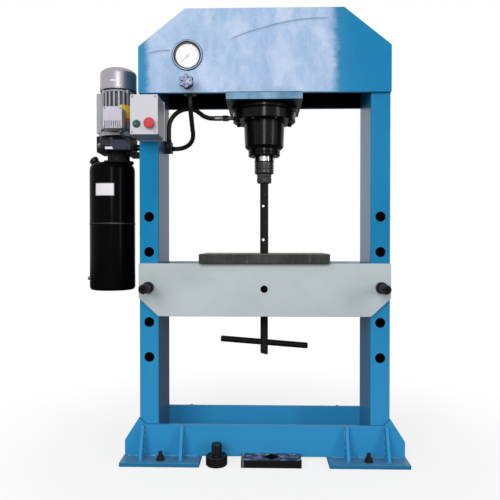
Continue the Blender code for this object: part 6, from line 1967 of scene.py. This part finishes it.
PACK = Vector((Span("motor_frame").right - 0.080, AXIS.y, 0))
TANK = at(-0.639, 0, 0)
CROSSHEAD = Span("crosshead_front_plate")
LEFT_POST_PAINT = blue_paint("left_post_paint", painted_shade_side=1, tube=Span("post_left"))
RIGHT_POST_PAINT = blue_paint("right_post_paint", tube=Span("post_right"))
POST_PAINT = blue_paint("post_paint")
FOOT_PAINT = foot_paint("foot_paint")
INNER_PAINT = shade_paint("crosshead_painted_shade")
BACK_SHADED_PAINT = back_shaded_paint("back_plate_paint")
MOUNT_PAINT = mount_paint("mount_paint")
BOLSTER_PAINT = grey_paint("bolster_paint")
GLARE_PAINT = crosshead_paint("crosshead_paint", CROSSHEAD.left, CROSSHEAD.right, CROSSHEAD.bottom)
CYLINDER_GLOSS = black_gloss("cylinder_gloss", shine=0.13)
TANK_GLOSS = black_gloss("tank_gloss", seam=TANK_SEAM, shine=0.025)
BOLT_STEEL = scaled_steel("anchor_steel", (0.020, 0.019, 0.018), (0.20, 0.20, 0.21))
SCREW_STEEL = turned_steel("screw_steel", (0.36, 0.36, 0.37), 0.32)
DARK_STEEL = turned_steel("plug_steel", (0.050, 0.052, 0.060), 0.36, 0.8)
TABLE_STEEL = table_steel("table_steel")
CHROME = chrome("ram_chrome", AXIS)
COLLAR_STEEL = turned_steel("collar_steel", (0.045, 0.045, 0.047), 0.34, 0.8)
NUT_STEEL = knurled_steel("nut_steel", AXIS, (0.075, 0.075, 0.078))
ROD_STEEL = scaled_steel("rod_steel", (0.011, 0.010, 0.009), (0.07, 0.066, 0.062), 0.30)
BAR_STEEL = scaled_steel("bar_steel", (0.004, 0.004, 0.004), (0.05, 0.048, 0.046), 0.30)
HOSE_END = turned_steel("hose_end_brass", (0.11, 0.10, 0.06), 0.34)
SLEEVE_STEEL = turned_steel("hose_sleeve_steel", (0.30, 0.29, 0.22), 0.34)
GAUGE_RIM = gauge_rim("gauge_rim", Span("gauge_glass").middle, Span("gauge_case").size.x / 2)
WELL_SHADE = printed("gauge_well_painted_shade", (0.006, 0.006, 0.008), 0.5)
DIAL_WHITE = printed("dial_white", (0.96, 0.96, 0.96))
DIAL_MARKS = printed("dial_marks", (0.66, 0.68, 0.72))
WHEEL_METAL = wheel_metal("wheel_metal")
VALVE_STEEL = turned_steel("valve_steel", (0.030, 0.030, 0.032), 0.40, 0.6, deep=True)
BOX_PLASTIC = moulded("box_plastic", (0.62, 0.61, 0.66))
BOX_LID = moulded("box_lid_plastic", (0.60, 0.59, 0.64), sides=0.42)
BOX_SHADE = moulded("box_back_plastic", (0.26, 0.27, 0.29))
BEZEL_PLASTIC = moulded("bezel_plastic", (0.10, 0.115, 0.12))
START_GREEN = moulded("start_green", (0.018, 0.090, 0.055), 0.30)
STOP_RED = moulded("stop_red", (0.600, 0.045, 0.065), 0.28)
MOTOR_CASTING = cast_metal("motor_casting", (0.40, 0.40, 0.44), core=(PACK, MOTOR_CORE))
COWL_METAL = cast_metal("cowl_metal", (0.42, 0.39, 0.43), 0.30, 0.85, 500.0)
TERMINAL_METAL = cast_metal("terminal_metal", (0.55, 0.55, 0.60), 0.45, 0.3)
LID_METAL = cast_metal("terminal_lid_metal", (0.60, 0.57, 0.66), 0.45, 0.2)
PATCH_WHITE = printed("patch_white", (0.80, 0.78, 0.82))
PATCH_GREY = printed("patch_grey", (0.36, 0.36, 0.38))
PATCH_YELLOW = printed("patch_yellow", (0.78, 0.46, 0.03))
PATCH_ORANGE = printed("patch_orange", (0.50, 0.13, 0.02))
MANIFOLD_BLACK = scaled_steel("manifold_black", (0.008, 0.008, 0.010), (0.08, 0.08, 0.09), 0.4)
COIL_BLACK = moulded("coil_black", (0.014, 0.015, 0.018))
SOLENOID_STEEL = cast_metal("solenoid_steel", (0.030, 0.036, 0.056), 0.42, 0.4)
CAP_BLACK = moulded("cap_black", (0.007, 0.007, 0.008), 0.3)
HEAD_STEEL = turned_steel("head_steel", (0.024, 0.023, 0.022), 0.24, 0.8)
V_BLOCK_STEEL = scratched_block("v_block_steel", Span("v_block_front").left, 0.008)
INNER_STEEL = turned_steel("inner_steel", (0.32, 0.32, 0.33))
FAN_BLACK = moulded("fan_black", (0.012, 0.012, 0.013))
GLASS = clear_glass("gauge_glass_clear")


# The press.

make_post("post_left", LEFT_POST_PAINT)
make_post("post_right", RIGHT_POST_PAINT)
gauge_at = Span("gauge_glass").middle
valve_at = Span("valve_handwheel").middle
panel_holes = [circle(gauge_at.x, gauge_at.z, GAUGE_HOLE), circle(valve_at.x, valve_at.z, VALVE_HOLE)]
make_sheet("crosshead_front_plate", crosshead_outline(CROSSHEAD), GLARE_PAINT, holes=panel_holes)
make_sheet("crosshead_back_plate", crosshead_outline(Span("crosshead_back_plate")), BACK_SHADED_PAINT)
make_crosshead_cover(POST_PAINT)
make_mount_plate()
make_beam("base_front_beam", POST_PAINT)
make_beam("base_back_beam", POST_PAINT)
make_foot("foot_left", -1)
make_foot("foot_right", 1)
for corner in ANCHOR_CORNERS:
    make_anchor_bolt("anchor_bolt_" + corner)
dress(INNER_PAINT, "crosshead_cradle")
dress(MANIFOLD_BLACK, "power_pack_bracket")

make_bolster_plate("bolster_front_plate")
make_bolster_plate("bolster_back_plate")
dress(BOLSTER_PAINT, "bolster_web_left", "bolster_web_right")
make_table()
make_pin("pin_left")
make_pin("pin_right")

make_barrel()
make_gland()
make_ram()
make_rod()
make_bar()
make_port_fitting()

make_gauge()
dress(GLASS, "gauge_glass", edge=0.0002)
dress(DIAL_MARKS, "gauge_needle", edge=0.0001)
make_handwheel()
make_valve_body()

make_control_box()
make_buttons()

make_motor()
make_cowl()
make_terminal_box()
make_manifold()
make_solenoid()
make_tank()
make_drain_plug()
make_hose_block()
dress(INNER_STEEL, "motor_rotor", "pump_drive_gear", "pump_driven_gear", edge=0.0003)
dress(FAN_BLACK, "motor_fan", edge=0.0005)
dress(MANIFOLD_BLACK, "gear_pump")

make_pressing_head()
make_v_block("v_block_front")
make_v_block("v_block_back")


# Floor, light and background.

FLOOR_REACH = 14.0
AMBIENT = 0.38
# Each lamp: its place, the height that it is turned to, its width and height, its power.
LAMPS = (
    ("key", (-2.4, -4.4, 2.5), 0.9, (2.6, 2.6), 104), ("fill", (3.7, -3.1, 1.9), 1.0, (0.5, 2.4), 46),
    ("strip", (0.0, -3.4, 1.9), 1.9, (0.34, 1.4), 32),
)


def make_floor():
    """A plain pale floor, which keeps the shadow of what stands on it."""
    mesh = bpy.data.meshes.new("floor")
    outline = rectangle(-FLOOR_REACH, FLOOR_REACH, -FLOOR_REACH, FLOOR_REACH)
    mesh.from_pydata([(*corner, 0) for corner in outline], [], [(0, 1, 2, 3)])
    floor = bpy.data.objects.new("floor", mesh)
    floor.location = (AXIS.x, AXIS.y, -0.0005)
    SCENE.collection.objects.link(floor)
    look = Look("floor_sheet", roughness=0.9, specular=0.05)
    mottle = look.noise(2.0, 3.0)
    seen = look.node("ShaderNodeLightPath").out("Is Camera Ray")
    look.base(look.mix(seen, look.mix(mottle, (0.32, 0.32, 0.32), (0.36, 0.36, 0.36)), WHITE))
    glow = look.node("ShaderNodeEmission", {}, {"Color": (1, 1, 1), "Strength": 1.0})
    surface = look.tree.nodes["Principled BSDF"]
    away = look.node("ShaderNodeVectorMath", {"operation": "LENGTH"}, {0: look.place}).out("Value")
    blend = look.node("ShaderNodeMixShader", {}, {0: seen * (0.78 + away.step(0.5, 1.6) * 0.22)})
    look.tree.links.new(surface.outputs[0], blend.made.inputs[1])
    look.tree.links.new(glow.socket, blend.made.inputs[2])
    look.tree.links.new(blend.socket, look.tree.nodes["Material Output"].inputs["Surface"])
    mesh.materials.append(look.material)


def make_lamp(name, place, target, size, power):
    data = bpy.data.lights.new(name, "AREA")
    data.shape = "RECTANGLE"
    data.size, data.size_y = size
    data.energy = power
    lamp = bpy.data.objects.new(name, data)
    lamp.location = place
    lamp.rotation_euler = (Vector(target) - Vector(place)).to_track_quat("-Z", "Y").to_euler()
    SCENE.collection.objects.link(lamp)
    return lamp


def make_world(ambient):
    """White where it is seen, and in metal and glass. A softer fill on everything else."""
    world = bpy.data.worlds.new("studio")
    world.use_nodes = True
    SCENE.world = world
    nodes = world.node_tree.nodes
    links = world.node_tree.links
    path = nodes.new("ShaderNodeLightPath")
    total = path.outputs["Is Camera Ray"]
    for name in ("Is Glossy Ray", "Is Transmission Ray"):
        both = nodes.new("ShaderNodeMath")
        both.operation = "MAXIMUM"
        links.new(total, both.inputs[0])
        links.new(path.outputs[name], both.inputs[1])
        total = both.outputs[0]
    scaled = nodes.new("ShaderNodeMapRange")
    scaled.inputs["To Min"].default_value = ambient
    scaled.inputs["To Max"].default_value = 1.0
    links.new(total, scaled.inputs["Value"])
    background = nodes["Background"]
    background.inputs["Color"].default_value = (1, 1, 1, 1)
    links.new(scaled.outputs[0], background.inputs["Strength"])


make_floor()
for name, place, height, size, power in LAMPS:
    lamp = make_lamp(name, at(*place), at(0, 0, height), size, power)
    lamp.visible_glossy = name != "key"
make_world(AMBIENT)

SCENE.view_settings.view_transform = "Standard"
